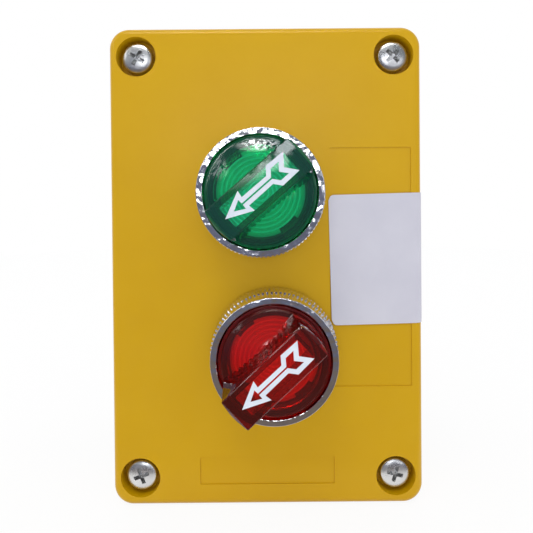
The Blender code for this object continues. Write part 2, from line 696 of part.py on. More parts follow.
def make_knob(prefix, knob, finish):
    """The moulded knob: skirt, flange, shallow dome and a hollow grip bar with ribbed flanks."""
    dome = []
    for i in range(DOME_STEPS):
        share = (DOME_STEPS - i) / DOME_STEPS
        dome.append((KNOB_DOME_RADIUS * share, dome_height(share)))
    skirt_bottom = HEAD_FLOOR_TOP + FIT
    profile = [
        (0.0, skirt_bottom),
        (SKIRT_RADIUS, skirt_bottom),
        (SKIRT_RADIUS, KNOB_FLANGE_BOTTOM),
        (BARREL_HEAD_RADIUS, KNOB_FLANGE_BOTTOM),
        (BARREL_HEAD_RADIUS, KNOB_FLANGE_TOP),
        (KNOB_STEP_RADIUS, KNOB_FLANGE_TOP),
        (KNOB_STEP_RADIUS, KNOB_STEP_TOP),
        *dome,
        (0.0, KNOB_DOME_TOP),
    ]
    lens = turned(prefix + "_knob", profile, ROUND_STEPS, knob, finish)
    inside = [(0.0, skirt_bottom - FIT), (SKIRT_BORE, skirt_bottom - FIT), (SKIRT_BORE, KNOB_FLANGE_BOTTOM)]
    inside += [(radius - KNOB_WALL, height - KNOB_WALL) for radius, height in dome]
    inside.append((0.0, KNOB_DOME_TOP - KNOB_WALL))
    core = turned(prefix + "_knob_core", inside, INNER_STEPS, knob)

    half = GRIP_WIDTH / 2
    foot = KNOB_FLANGE_TOP
    slope = GRIP_DRAFT / (GRIP_TOP - KNOB_STEP_TOP)
    shoulder = GRIP_TOP - GRIP_FACET_DROP

    def half_at(height):
        return half + slope * (GRIP_TOP - height)

    half_length = GRIP_LENGTH / 2
    sections = [
        (grip_outline(half_at(foot) - RIB_DEPTH, RIB_DEPTH, GRIP_END_RADIUS, half_length), foot),
        (grip_outline(half_at(RIB_TOP) - RIB_DEPTH, RIB_DEPTH, GRIP_END_RADIUS, half_length), RIB_TOP),
        (grip_outline(half_at(shoulder), 0.0, GRIP_END_RADIUS, half_length), shoulder),
        (grip_outline(half, 0.0, 0.0, half_length), GRIP_TOP),
    ]
    grip = lofted(prefix + "_grip_bar", sections, knob)
    hollow_size = (GRIP_LENGTH - 2 * GRIP_END_WALL, GRIP_WIDTH - 2 * GRIP_SIDE_WALL)
    hollow = box(prefix + "_grip_hollow", (0.0, 0.0), hollow_size, KNOB_FLANGE_BOTTOM,
                 GRIP_TOP - GRIP_SIDE_WALL, knob)
    combine(lens, [grip], "UNION")
    combine(lens, [core, hollow])
    return combine(lens, [key_block(f"{prefix}_knob_key_{side}", side, knob) for side in (1, -1)], "UNION")


def dome_height(share):
    """Height of the dome at this share of its radius: an even shallow cap."""
    edge = KNOB_STEP_TOP
    return edge + (KNOB_DOME_TOP - edge) * (1 - share**2)


def key_block(name, side, knob):
    """One of the two keys inside the skirt that carry the diffuser and the rotor round."""
    inner = NOTCH_FLOOR + FIT
    outer = SKIRT_BORE + KNOB_WALL / 2
    middle = 90.0 * side
    outline = arc((0.0, 0.0), outer, middle - KEY_ANGLE / 2, middle + KEY_ANGLE / 2, ARC_STEPS)
    outline += arc((0.0, 0.0), inner, middle + KEY_ANGLE / 2, middle - KEY_ANGLE / 2, ARC_STEPS)
    return prism(name, outline, HEAD_FLOOR_TOP + 2 * FIT, DIFFUSER_TOP, knob)


def notch_cutters(prefix, bottom, top, parent, turn):
    """The two notches that the knob's keys enter."""
    cutters = []
    for side in (1, -1):
        middle = turn + 90.0 * side
        start, end = middle - NOTCH_ANGLE / 2, middle + NOTCH_ANGLE / 2
        outline = arc((0.0, 0.0), SKIRT_RADIUS, start, end, ARC_STEPS)
        outline += arc((0.0, 0.0), NOTCH_FLOOR, end, start, ARC_STEPS)
        cutters.append(prism(f"{prefix}_{side}", outline, bottom, top, parent))
    return cutters


def make_diffuser(prefix, knob):
    """The light-spreading disc under the dome, with concentric ridges and two notches."""
    profile = [(0.0, DIFFUSER_BOTTOM), (INSERT_RADIUS, DIFFUSER_BOTTOM)]
    pitch = INSERT_RADIUS / (DIFFUSER_RIDGES + 0.5)
    for ridge in range(DIFFUSER_RIDGES):
        outer = INSERT_RADIUS - ridge * pitch
        profile.append((outer, DIFFUSER_TOP))
        profile.append((outer - pitch / 2, DIFFUSER_TOP - DIFFUSER_RIDGE_HEIGHT))
    profile.append((0.0, DIFFUSER_TOP - DIFFUSER_RIDGE_HEIGHT))
    milk = material("milky_plastic", (0.80, 0.80, 0.78, 1.0), 0.5)
    disc = turned(prefix + "_diffuser", profile, INNER_STEPS, knob, milk)
    notches = notch_cutters(prefix + "_diffuser_notch", DIFFUSER_BOTTOM - FIT, DIFFUSER_TOP + FIT,
                            knob, 0.0)
    return combine(disc, notches)


def cam_drop(angle):
    """How far the cam reaches down at an angle behind the plunger, ramp, dwell, return and rest."""
    back = (-angle) % 180.0
    if back <= SWITCH_TRAVEL:
        return CAM_RISE * back / SWITCH_TRAVEL
    past = back - SWITCH_TRAVEL - CAM_DWELL
    if past <= 0.0:
        return CAM_RISE
    return CAM_RISE * max(1.0 - past / CAM_RETURN, 0.0)


def make_rotor(prefix, switch):
    """The rotor that runs in the barrel, notched for the knob's keys, with the cam at its rear."""
    groove_bottom = CLIP_TOP + CLIP_THICKNESS + FIT
    groove_radius = ROTOR_RADIUS - CLIP_GROOVE
    seat = HEAD_FLOOR_TOP + FIT
    profile = [
        (ROTOR_BORE_RADIUS, -CAM_LOW),
        (ROTOR_RADIUS, -CAM_LOW),
        (ROTOR_RADIUS, -groove_bottom),
        (groove_radius, -groove_bottom),
        (groove_radius, -BARREL_REAR),
        (ROTOR_RADIUS, -BARREL_REAR),
        (ROTOR_RADIUS, seat),
        (INSERT_RADIUS, seat),
        (INSERT_RADIUS, ROTOR_HEAD_TOP),
        (INSERT_RADIUS - ROTOR_HEAD_WALL, ROTOR_HEAD_TOP),
        (ROTOR_BORE_RADIUS, seat + ROTOR_HEAD_WALL),
    ]
    rotor = turned(prefix + "_rotor", profile, INNER_STEPS, switch, grey_plastic())
    for vertex in rotor.data.vertices:
        if abs(vertex.co.z + CAM_LOW) < WELD:
            angle = math.degrees(math.atan2(vertex.co.y, vertex.co.x))
            vertex.co.z -= cam_drop(round(angle, 3))
    notches = notch_cutters(prefix + "_rotor_notch", seat - FIT, ROTOR_HEAD_TOP + FIT, switch, POINTER_REST)
    return combine(rotor, notches)


def make_retaining_clip(prefix, switch):
    """The open spring clip that sits in the rotor's groove behind the barrel."""
    inner = ROTOR_RADIUS - CLIP_GROOVE + FIT
    outer = inner + CLIP_WIDTH
    bottom = CLIP_TOP + CLIP_THICKNESS
    profile = [(inner, -bottom), (outer, -bottom), (outer, -CLIP_TOP), (inner, -CLIP_TOP)]
    clip = turned(prefix + "_retaining_clip", profile, SMALL_STEPS, switch, steel(), 360.0 - CLIP_OPENING)
    clip.rotation_euler = (0.0, 0.0, math.radians(CLIP_OPENING / 2 - 90.0))
    return clip


def make_carrier(prefix, switch):
    """The carrier that grips the barrel's rear end and holds the three blocks in a row."""
    front = -CARRIER_FRONT
    rear = front - CARRIER_DEPTH
    outline = rounded_rectangle(CARRIER_WIDTH / 2, BLOCK_LENGTH / 2, CARRIER_CORNER, ARC_STEPS)
    carrier = prism(prefix + "_block_carrier", outline, rear, front, switch, black_plastic())
    grip = BARREL_RADIUS + FIT
    profile = [
        (0.0, rear - FIT),
        (CARRIER_POCKET_RADIUS, rear - FIT),
        (CARRIER_POCKET_RADIUS, -BARREL_REAR),
        (grip, -BARREL_REAR),
        (grip, front + FIT),
        (0.0, front + FIT),
    ]
    return combine(carrier, [turned(prefix + "_carrier_bore", profile, INNER_STEPS, switch)])


def make_lamp(prefix, switch):
    """The plug-in lamp on the switch's axis: metal base and domed bulb."""
    foot = -(BLOCK_FRONT + SOCKET_DEPTH - FIT)
    shoulder = -(LAMP_TOP + LAMP_BULB_RADIUS)
    profile = [(0.0, foot), (LAMP_BASE_RADIUS, foot), (LAMP_BASE_RADIUS, -LAMP_BASE_TOP)]
    profile += [(LAMP_BULB_RADIUS, -LAMP_BASE_TOP + FIT)]
    bulb = arc((0.0, shoulder), LAMP_BULB_RADIUS, 0.0, 90.0, ARC_STEPS)
    profile += [*bulb[:-1], (0.0, shoulder + LAMP_BULB_RADIUS)]
    clear = material("lamp_plastic", (0.85, 0.85, 0.80, 1.0), 0.2)
    return turned(prefix + "_lamp", profile, SMALL_STEPS, switch, clear)


def terminal_pockets(prefix, centre_x, width, switch):
    """The open wells at both ends of a block where its terminals are reached from behind."""
    rear = -(BLOCK_FRONT + BLOCK_DEPTH)
    middle = BLOCK_LENGTH / 2 - BLOCK_WALL - POCKET_LENGTH / 2
    top = -(BRIDGE_TOP - FIT - CONTACT_THICKNESS - FIT)
    size = (width - 2 * POCKET_SIDE_WALL, POCKET_LENGTH)
    return [box(f"{prefix}_pocket_{side}", (centre_x, side * middle), size, rear - FIT, top, switch)
            for side in (1, -1)]


def make_lamp_holder(prefix, switch):
    """The middle block: a socket for the lamp and a terminal well at each end."""
    front = -BLOCK_FRONT
    rear = front - BLOCK_DEPTH
    outline = rounded_rectangle(HOLDER_WIDTH / 2, BLOCK_LENGTH / 2, BLOCK_EDGE, EDGE_STEPS)
    holder = prism(prefix + "_lamp_holder", outline, rear, front, switch, grey_plastic())
    socket = drill(prefix + "_lamp_socket", (0.0, 0.0), LAMP_BASE_RADIUS + FIT, front - SOCKET_DEPTH,
                   front + FIT, switch)
    return combine(holder, [socket, *terminal_pockets(prefix + "_holder", 0.0, HOLDER_WIDTH, switch)])


def contact_level(kind):
    """Depth of a fixed contact's front face: ahead of the bridge if closed at rest, else behind it."""
    if kind == "nc":
        return BRIDGE_TOP - FIT - CONTACT_THICKNESS
    return BRIDGE_BOTTOM + CONTACT_GAP


def make_contact_block(prefix, kind, side, switch):
    """A contact block: housing, plunger, bridge, two fixed contacts and a return spring."""
    stem = f"{prefix}_{kind}"
    front = -BLOCK_FRONT
    rear = front - BLOCK_DEPTH
    middle = side * (BLOCK_INNER_X + BLOCK_WIDTH / 2)
    shape = rounded_rectangle(BLOCK_WIDTH / 2, BLOCK_LENGTH / 2, BLOCK_EDGE, EDGE_STEPS)
    outline = [(x + middle, y) for x, y in shape]
    housing = prism(stem + "_contact_block", outline, rear, front, switch, grey_plastic())
    cam_at = (side * CAM_RADIUS, 0.0)
    level = contact_level(kind)
    slot_size = (PLUNGER_SIZE[0] + 2 * FIT, PLUNGER_SIZE[1] + 2 * FIT)
    strip_slot = (BRIDGE_SIZE[0] + 2 * FIT, BLOCK_LENGTH - 2 * BLOCK_WALL)
    cutters = [
        box(stem + "_cavity", (middle, 0.0), (BLOCK_WIDTH - 2 * BLOCK_WALL, CAVITY_LENGTH),
            rear + BLOCK_REAR_WALL, front - BLOCK_FRONT_WALL, switch),
        box(stem + "_plunger_slot", cam_at, slot_size, front - BLOCK_FRONT_WALL - FIT, front + FIT,
            switch),
        box(stem + "_strip_slot", cam_at, strip_slot, -(level + CONTACT_THICKNESS + FIT),
            -(level - FIT), switch),
    ]
    cutters += terminal_pockets(stem, middle, BLOCK_WIDTH, switch)
    combine(housing, cutters)

    carried = empty(stem + "_slider", switch, (*cam_at, 0.0))
    make_plunger(stem, carried)
    make_bridge(stem, carried)
    make_spring(stem, carried)
    for end, way in (("upper", 1), ("lower", -1)):
        make_fixed_contact(f"{stem}_terminal_{end}", cam_at, way, level, switch)


def make_plunger(stem, slider):
    """The push rod: a chamfered tip under the cam, a stem, and a pin through the bridge."""
    half_x, half_y = PLUNGER_SIZE[0] / 2, PLUNGER_SIZE[1] / 2
    tip = -(CAM_LOW + FIT)
    pin = rectangle(PLUNGER_PIN / 2, PLUNGER_PIN / 2)
    sections = [
        (pin, -(BRIDGE_BOTTOM + PLUNGER_PIN_LENGTH)),
        (pin, -COLLAR_HEIGHT),
        (rectangle(half_x, half_y), -COLLAR_HEIGHT),
        (rectangle(half_x, half_y), tip - PLUNGER_TIP_DROP),
        (rectangle(half_x, PLUNGER_TIP_LENGTH / 2), tip),
    ]
    white = material("white_plastic", (0.75, 0.75, 0.72, 1.0), 0.5)
    return lofted(stem + "_plunger", sections, slider, white)


def make_bridge(stem, slider):
    """The moving contact: a strip with a square hole for the plunger's pin."""
    strip = box(stem + "_contact_bridge", (0.0, 0.0), BRIDGE_SIZE, -BRIDGE_BOTTOM, -BRIDGE_TOP,
                slider, copper())
    hole_side = PLUNGER_PIN + 2 * FIT
    hole = box(stem + "_bridge_hole", (0.0, 0.0), (hole_side, hole_side), -BRIDGE_BOTTOM - FIT,
               -BRIDGE_TOP + FIT, slider)
    return combine(strip, [hole])


def make_spring(stem, slider):
    """The return spring, a round wire coil between the bridge and the housing's rear wall."""
    top = -(BRIDGE_BOTTOM + FIT + SPRING_WIRE_RADIUS)
    bottom = -(SPRING_SEAT - SPRING_WIRE_RADIUS)
    count = SPRING_TURNS * SPRING_STEPS
    curve = bpy.data.curves.new(stem + "_return_spring", "CURVE")
    curve.dimensions = "3D"
    curve.bevel_depth = SPRING_WIRE_RADIUS
    curve.bevel_resolution = 0
    curve.use_fill_caps = True
    coil = curve.splines.new("POLY")
    coil.points.add(count)
    for i, point in enumerate(coil.points):
        angle = math.tau * i / SPRING_STEPS
        height = top + (bottom - top) * i / count
        point.co = (SPRING_RADIUS * math.cos(angle), SPRING_RADIUS * math.sin(angle), height, 1.0)
    spring = bpy.data.objects.new(stem + "_return_spring", curve)
    bpy.context.scene.collection.objects.link(spring)
    spring.parent = slider
    curve.materials.append(steel())
    return spring


def make_fixed_contact(name, centre, way, level, switch):
    """A fixed contact strip that runs out into the terminal well, with a hole for its screw."""
    outer = BLOCK_LENGTH / 2 - BLOCK_WALL - FIT
    length = outer - CONTACT_INNER
    middle = (centre[0], way * (CONTACT_INNER + length / 2))
    strip = box(name, middle, (BRIDGE_SIZE[0], length), -(level + CONTACT_THICKNESS), -level,
                switch, copper())
    hole_at = (centre[0], way * (BLOCK_LENGTH / 2 - BLOCK_WALL - POCKET_LENGTH / 2))
    hole = drill(name + "_hole", hole_at, TERMINAL_HOLE_RADIUS, -(level + CONTACT_THICKNESS + FIT),
                 -(level - FIT), switch, SMALL_STEPS)
    return combine(strip, [hole])


def make_switch(prefix, centre, skew, colour, wall):
    """One complete selector switch on its own axis."""
    switch = empty(prefix + "_switch_axis", wall, (*centre, FACE), (0.0, 0.0, skew))
    knob = empty(prefix + "_knob_axis", switch, (0.0, 0.0, 0.0), (0.0, 0.0, POINTER_REST))
    finish = material(prefix + "_lens", colour, 0.15, 0.0, 0.8)
    make_knob(prefix, knob, finish)
    make_diffuser(prefix, knob)
    make_bezel(prefix, switch)
    make_panel_gasket(prefix, switch)
    make_barrel(prefix, switch)
    make_locknut(prefix, switch)
    make_rotor(prefix, switch)
    make_retaining_clip(prefix, switch)
    make_carrier(prefix, switch)
    make_lamp(prefix, switch)
    make_lamp_holder(prefix, switch)
    make_contact_block(prefix, "no", -1, switch)
    make_contact_block(prefix, "nc", 1, switch)


def main():
    for old in list(bpy.data.objects):
        bpy.data.objects.remove(old)
    wall = empty("wall_frame", turn=(90.0, 0.0, 0.0))
    make_base(wall)
    make_cover(wall)
    make_cover_gasket(wall)
    for name, centre, turn in screw_places():
        make_cover_screw(name, centre, turn, wall)
    make_sticker(wall)
    for prefix, centre, skew, colour in SWITCHES:
        make_switch(prefix, centre, skew, colour, wall)


main()
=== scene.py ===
"""Selector switch box: its visible surfaces, materials and light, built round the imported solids.

Pieces are drawn in the same frames as the solids: the wall frame has x to the right, y up
and z out of the wall, and each switch has a frame of its own on the cover's face.
Lengths are in metres, angles in degrees, colours are linear.
"""
import math

import bmesh
import bpy
from mathutils import Matrix, Vector, noise


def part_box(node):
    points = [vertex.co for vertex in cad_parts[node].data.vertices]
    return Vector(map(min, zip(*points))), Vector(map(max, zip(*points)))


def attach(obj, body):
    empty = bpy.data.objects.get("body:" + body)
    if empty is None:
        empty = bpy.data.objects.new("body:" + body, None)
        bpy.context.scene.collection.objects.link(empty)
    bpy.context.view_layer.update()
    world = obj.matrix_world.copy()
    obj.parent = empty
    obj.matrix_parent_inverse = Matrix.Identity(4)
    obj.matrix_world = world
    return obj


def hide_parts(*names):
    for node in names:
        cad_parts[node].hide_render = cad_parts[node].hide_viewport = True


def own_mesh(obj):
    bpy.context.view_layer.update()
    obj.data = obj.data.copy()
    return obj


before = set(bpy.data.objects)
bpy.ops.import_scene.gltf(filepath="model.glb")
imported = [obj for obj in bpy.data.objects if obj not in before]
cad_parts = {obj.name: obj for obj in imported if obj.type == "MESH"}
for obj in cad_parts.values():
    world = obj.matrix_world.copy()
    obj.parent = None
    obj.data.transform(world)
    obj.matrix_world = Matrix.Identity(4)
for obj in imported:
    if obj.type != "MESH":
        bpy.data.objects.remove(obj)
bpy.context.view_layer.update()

# Enclosure: as in the solids, but for shallower recesses and higher crowns on the screws
FIT = 0.0003
HALF_WIDTH = 0.0395
HALF_HEIGHT = 0.0607
BASE_DEPTH = 0.0420
COVER_REAR = BASE_DEPTH + FIT
FACE = 0.0640
CORNER_RADIUS = 0.0050
FRONT_FILLET = 0.0019
BACK_FILLET = 0.0010
SIDE_WALL = 0.0030
PANEL_WALL = 0.0030
FLOOR_WALL = 0.0030
LABEL_RECESS = (0.0206, 0.0606)
LABEL_RECESS_AT = (0.0264, -0.0002)
NAME_RECESS = (0.0342, 0.0070)
NAME_RECESS_AT = (-0.0002, -0.0517)
RECESS_DEPTH = 0.00024
RECESS_CORNER = 0.0004
WALL_HOLES = (0.0260, 0.0420)
WALL_HOLE_RADIUS = 0.0026
BOSS_RADIUS = 0.0050
BOSS_HEIGHT = 0.0020
KNOCKOUT_RADIUS = 0.0102
KNOCKOUT_DEPTH = 0.0012
GROOVE_INSETS = (0.00225, 0.00075)
GROOVE_DEPTH = 0.0015
SCREW_X = 0.0325
SCREW_Y = 0.0534
SCREW_TURNS = (("top_left", -1, 1, 60.0), ("top_right", 1, 1, 45.0),
               ("bottom_left", -1, -1, 20.0), ("bottom_right", 1, -1, 75.0))
HEAD_RADIUS = 0.0038
HEAD_HEIGHT = 0.0024
HEAD_SINK = 0.0017
HEAD_CROWN = 0.0009
SHANK_RADIUS = 0.0019
SCREW_LENGTH = 0.0280
COUNTERBORE_RADIUS = 0.0050
POST_RADIUS = 0.0066

# Switches: prefix, centre on the face, and how far each sits askew
SWITCHES = (("green", (-0.0011, 0.0184), -4.0), ("red", (0.0018, -0.0207), -2.0))
POINTER_REST = 225.0
# Their sizes: as in the solids, but for finer knurls
BARREL_RADIUS = 0.01095
BARREL_BORE = 0.0096
BARREL_REAR = 0.0116
BARREL_HEAD_RADIUS = 0.0131
BARREL_HEAD_TOP = 0.0089
HEAD_SEAT = 0.0014
HEAD_FLOOR_TOP = 0.0033
SKIRT_RADIUS = 0.0120
SKIRT_BORE = 0.0106
INSERT_RADIUS = 0.0103
GRIP_TOP = 0.0235
BEZEL_HEIGHT = 0.0120
BEZEL_FOOT = 0.01598
BEZEL_RIM = 0.01485
BEZEL_TAPER = 0.0680
KNURL_COUNT = 90
KNURL_DEPTH = 0.00036
KNURL_STEP = 0.0003
KNURL_LAND = 0.35
KNURL_FLANK = 0.45
# Rows of knurls: phase, lowest and highest edge, and how gently they run out
KNURL_ROWS = ((0.5, 0.0003, 0.0036, 1.8), (0.0, 0.0030, 0.0069, 1.0))

# Return springs of the contact blocks, with more turns than in the solids
SPRING_RADIUS = 0.0015
SPRING_WIRE = 0.0002
SPRING_TURNS = 6

# The room that metal and knobs mirror: height of the direction, and colour as a share of the peak
ROOM_PEAK = 1.0
ROOM_LEVELS = (
    (-1.00, (0.20, 0.18, 0.17)),
    (-0.35, (0.16, 0.13, 0.11)),
    (-0.10, (0.13, 0.14, 0.20)),
    (0.05, (0.18, 0.19, 0.26)),
    (0.12, (0.22, 0.24, 0.28)),
    (0.60, (0.22, 0.24, 0.26)),
    (1.00, (0.25, 0.25, 0.25)),
)
# Bright places in it: centre and reach across and up, lean, and brightness
ROOM_PATCHES = (
    ((-0.01, 0.180), (0.26, 0.110), 0.30, 10.0),
    ((-0.03, 0.830), (0.34, 0.085), 0.0, 24.0),
    ((-0.72, 0.460), (0.18, 0.24), 0.0, 4.0),
    ((0.42, 0.060), (0.25, 0.20), 0.0, 2.0),
)

# Floor: centre behind the box, radius, and the share of plain white that the camera sees
FLOOR_BEHIND = 0.518
FLOOR_RADIUS = 0.60
FLOOR_WHITE = 0.91

KEY_LAMP = {"location": (-0.13, -0.52, 0.66), "size": (0.52, 0.22), "power": 0.9,
            "colour": (1.0, 0.99, 0.97)}
# Even light of the room on matt surfaces: colour and strength
ROOM_LIGHT = ((0.98, 0.985, 1.0), 0.98)

CAMERA_LENS = 33.4
CAMERA_SHIFT = (-0.0120, -0.0840)
CAMERA_AT = (0.00159, -0.1891, 0.01277)
CAMERA_TURNS = ((-0.49, "Z"), (-0.06, "Y"), (-0.59, "X"))

# Plastics and rubber: pale and deep colour, least and most roughness, scale and depth of the grain
MOULDINGS = {
    "yellow_moulding": ((0.625, 0.362, 0.0016), (0.602, 0.342, 0.0010), 0.28, 0.36, 1500.0, 6e-6),
    "black_moulding": ((0.020, 0.020, 0.022), (0.014, 0.014, 0.015), 0.42, 0.56, 1800.0, 1e-5),
    "grey_moulding": ((0.21, 0.22, 0.23), (0.18, 0.19, 0.20), 0.45, 0.55, 1800.0, 8e-6),
    "pale_grey_moulding": ((0.46, 0.47, 0.48), (0.42, 0.43, 0.44), 0.45, 0.55, 1800.0, 8e-6),
    "white_moulding": ((0.76, 0.76, 0.73), (0.70, 0.70, 0.67), 0.40, 0.50, 1800.0, 6e-6),
    "seal_rubber": ((0.034, 0.034, 0.034), (0.024, 0.024, 0.024), 0.70, 0.85, 2500.0, 2e-5),
    "milky_moulding": ((0.88, 0.88, 0.86), (0.82, 0.82, 0.80), 0.40, 0.50, 900.0, 1e-5),
    "lamp_bulb": ((0.88, 0.88, 0.84), (0.82, 0.82, 0.78), 0.15, 0.22, 900.0, 4e-6),
}
# Plated metals: pale and deep colour, least and most roughness, and the depth of scratches
METALS = {
    "bright_chrome": ((0.84, 0.84, 0.86), (0.74, 0.74, 0.77), 0.05, 0.13, 2e-6),
    "zinc_plate": ((0.74, 0.74, 0.73), (0.60, 0.60, 0.61), 0.24, 0.34, 2e-6),
    "contact_copper": ((0.74, 0.48, 0.26), (0.62, 0.38, 0.20), 0.22, 0.34, 4e-6),
}
# Lenses: colour of the skin, and of what the plastic lets through
LENS_TINTS = {
    "green": ((0.10, 0.95, 0.66), (0.0, 0.885, 0.705)),
    "red": ((0.95, 0.07, 0.05), (0.935, 0.0, 0.0)),
}
LENS_DENSITY = 1600.0
LENS_IOR = 1.49
LENS_CLARITY = 0.95
YELLOW_IOR = 1.50
YELLOW_SPECULAR = 0.27
# Painted light: how brightly the milky diffuser glows, in place of the room's light that reaches it
# through the knob
DIFFUSER_PAINTED_LIGHT = 0.16

WALL = Matrix.Rotation(math.radians(90.0), 4, "X")


# Meshes

def arc(centre, radius, start, end, steps):
    """Points along an arc, both ends included."""
    angles = [math.radians(start + (end - start) * i / steps) for i in range(steps + 1)]
    return [(centre[0] + radius * math.cos(a), centre[1] + radius * math.sin(a)) for a in angles]


def circle(centre, radius, steps):
    return arc(centre, radius, 0.0, 360.0, steps)[:-1]


def rectangle(half_x, half_y, centre=(0.0, 0.0)):
    corners = ((1, 1), (-1, 1), (-1, -1), (1, -1))
    return [(centre[0] + sx * half_x, centre[1] + sy * half_y) for sx, sy in corners]


def rounded(half_x, half_y, radius, steps, centre=(0.0, 0.0)):
    """Counter-clockwise rectangle with round corners."""
    outline = []
    for turn, (sx, sy) in enumerate(((1, 1), (-1, 1), (-1, -1), (1, -1))):
        corner = (centre[0] + sx * (half_x - radius), centre[1] + sy * (half_y - radius))
        outline += arc(corner, radius, 90.0 * turn, 90.0 * turn + 90.0, steps)
    return outline


def piece(name, bm, place):
    """A bmesh as an object, with its place in its mesh."""
    bmesh.ops.recalc_face_normals(bm, faces=bm.faces)
    bm.transform(place)
    mesh = bpy.data.meshes.new(name)
    bm.to_mesh(mesh)
    bm.free()
    made = bpy.data.objects.new(name, mesh)
    bpy.context.scene.collection.objects.link(made)
    return made


def lofted(name, sections, place):
    """Skins a closed solid over outlines of equal point count, each given with its height."""
    bm = bmesh.new()
    rings = [[bm.verts.new((x, y, z)) for x, y in outline] for outline, z in sections]
    for lower, upper in zip(rings, rings[1:]):
        for i in range(len(lower)):
            j = (i + 1) % len(lower)
            bm.faces.new((lower[i], lower[j], upper[j], upper[i]))
    bm.faces.new(rings[0][::-1])
    bm.faces.new(rings[-1])
    bent = [face for face in bm.faces if len(sections) > 2 and len(face.verts) == 4]
    bmesh.ops.triangulate(bm, faces=bent)
    return piece(name, bm, place)


def prism(name, outline, bottom, top, place):
    return lofted(name, ((outline, bottom), (outline, top)), place)


def turned(name, profile, steps, place):
    """Spins a closed profile of (radius, height) points about the z axis."""
    bm = bmesh.new()
    points = [bm.verts.new((radius, 0.0, height)) for radius, height in profile]
    on_axis = profile[0][0] == 0.0 and profile[-1][0] == 0.0
    ends = points[1:] if on_axis else points[1:] + points[:1]
    start = points + [bm.edges.new(pair) for pair in zip(points, ends)]
    bmesh.ops.spin(bm, geom=start, axis=(0.0, 0.0, 1.0), cent=(0.0, 0.0, 0.0),
                   angle=math.tau, steps=steps, use_merge=True)
    bmesh.ops.remove_doubles(bm, verts=bm.verts, dist=0.000001)
    return piece(name, bm, place)


def combine(body, tools, operation="DIFFERENCE"):
    """Cuts or joins tool shapes into a body for good."""
    for tool in tools:
        step = body.modifiers.new(tool.name, "BOOLEAN")
        step.operation = operation
        step.solver = "EXACT"
        step.object = tool
    settle(body)
    for tool in tools:
        bpy.data.objects.remove(tool)
    return body


def settle(body):
    """Replaces a mesh by what its modifiers make of it."""
    graph = bpy.context.evaluated_depsgraph_get()
    mesh = bpy.data.meshes.new_from_object(body.evaluated_get(graph))
    body.modifiers.clear()
    old = body.data
    body.data = mesh
    bpy.data.meshes.remove(old)
    mesh.name = body.name


def soften(body, width, segments=2, angle=35.0):
    """Rounds the sharp edges a little."""
    body.data.shade_smooth()
    edge = body.modifiers.new("edge", "BEVEL")
    edge.width = width
    edge.segments = segments
    edge.limit_method = "ANGLE"
    edge.angle_limit = math.radians(angle)
    level = body.modifiers.new("level", "WEIGHTED_NORMAL")
    level.keep_sharp = True
    level.weight = 100
    settle(body)
    return body


def finish(made, surface, body, replaced=(), sharp=35.0):
    """Shading, material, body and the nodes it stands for."""
    if sharp:
        made.data.shade_smooth()
        made.data.set_sharp_from_angle(angle=math.radians(sharp))
    made.data.materials.clear()
    made.data.materials.append(surface)
    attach(made, body)
    if replaced:
        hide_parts(*replaced)
    return made


# Materials

class Surface:
    """A Principled material that is varied by noise in the piece's own space."""

    def __init__(self, name, metallic=0.0):
        self.material = bpy.data.materials.new(name)
        self.material.use_nodes = True
        self.tree = self.material.node_tree
        self.shader = self.tree.nodes["Principled BSDF"]
        self.shader.inputs["Metallic"].default_value = metallic
        self.space = self.add("ShaderNodeTexCoord").outputs["Object"]
        self.relief = None

    def add(self, kind, **values):
        node = self.tree.nodes.new(kind)
        for key, value in values.items():
            setattr(node, key, value)
        return node

    def link(self, source, target):
        self.tree.links.new(source, target)

    def cloud(self, scale, detail=3.0, stretch=(1.0, 1.0, 1.0), roughness=0.5):
        """Noise between 0 and 1. Scale is in features per metre."""
        mapping = self.add("ShaderNodeMapping")
        mapping.inputs["Scale"].default_value = stretch
        self.link(self.space, mapping.inputs["Vector"])
        texture = self.add("ShaderNodeTexNoise")
        texture.inputs["Scale"].default_value = scale
        texture.inputs["Detail"].default_value = detail
        texture.inputs["Roughness"].default_value = roughness
        self.link(mapping.outputs["Vector"], texture.inputs["Vector"])
        return texture.outputs["Fac"]

    def between(self, factor, low, high, start=0.3, end=0.7):
        """A number that follows a factor."""
        ramp = self.add("ShaderNodeMapRange")
        ends = {"From Min": start, "From Max": end, "To Min": low, "To Max": high}
        for key, value in ends.items():
            ramp.inputs[key].default_value = value
        self.link(factor, ramp.inputs["Value"])
        return ramp.outputs["Result"]

    def mixed(self, factor, first, second):
        """A colour that follows a factor. Each end is a colour or an output."""
        mix = self.add("ShaderNodeMix", data_type="RGBA")
        self.link(factor, mix.inputs["Factor"])
        for socket, value in ((mix.inputs[6], first), (mix.inputs[7], second)):
            if isinstance(value, tuple):
                socket.default_value = (*value, 1.0)
            else:
                self.link(value, socket)
        return mix.outputs[2]

    def colour(self, output):
        self.link(output, self.shader.inputs["Base Color"])

    def rough(self, output):
        self.link(output, self.shader.inputs["Roughness"])

    def bump(self, height, depth):
        """Adds relief of this real depth."""
        node = self.add("ShaderNodeBump")
        node.inputs["Strength"].default_value = 1.0
        node.inputs["Distance"].default_value = depth
        self.link(height, node.inputs["Height"])
        if self.relief is not None:
            self.link(self.relief, node.inputs["Normal"])
        self.relief = node.outputs["Normal"]
        self.link(self.relief, self.shader.inputs["Normal"])


def moulded(name):
    """Moulded plastic: a faint colour drift, a cloudy gloss and a fine moulding grain."""
    pale, deep, smooth, coarse, grain, depth = MOULDINGS[name]
    s = Surface(name)
    s.colour(s.mixed(s.between(s.cloud(60.0), 0.0, 1.0), deep, pale))
    s.rough(s.between(s.cloud(220.0, 4.0), smooth, coarse))
    s.bump(s.cloud(grain, 2.0), depth)
    return s


def yellow_plastic():
    s = moulded("yellow_moulding")
    s.shader.inputs["IOR"].default_value = YELLOW_IOR
    s.shader.inputs["Specular IOR Level"].default_value = YELLOW_SPECULAR
    return s.material


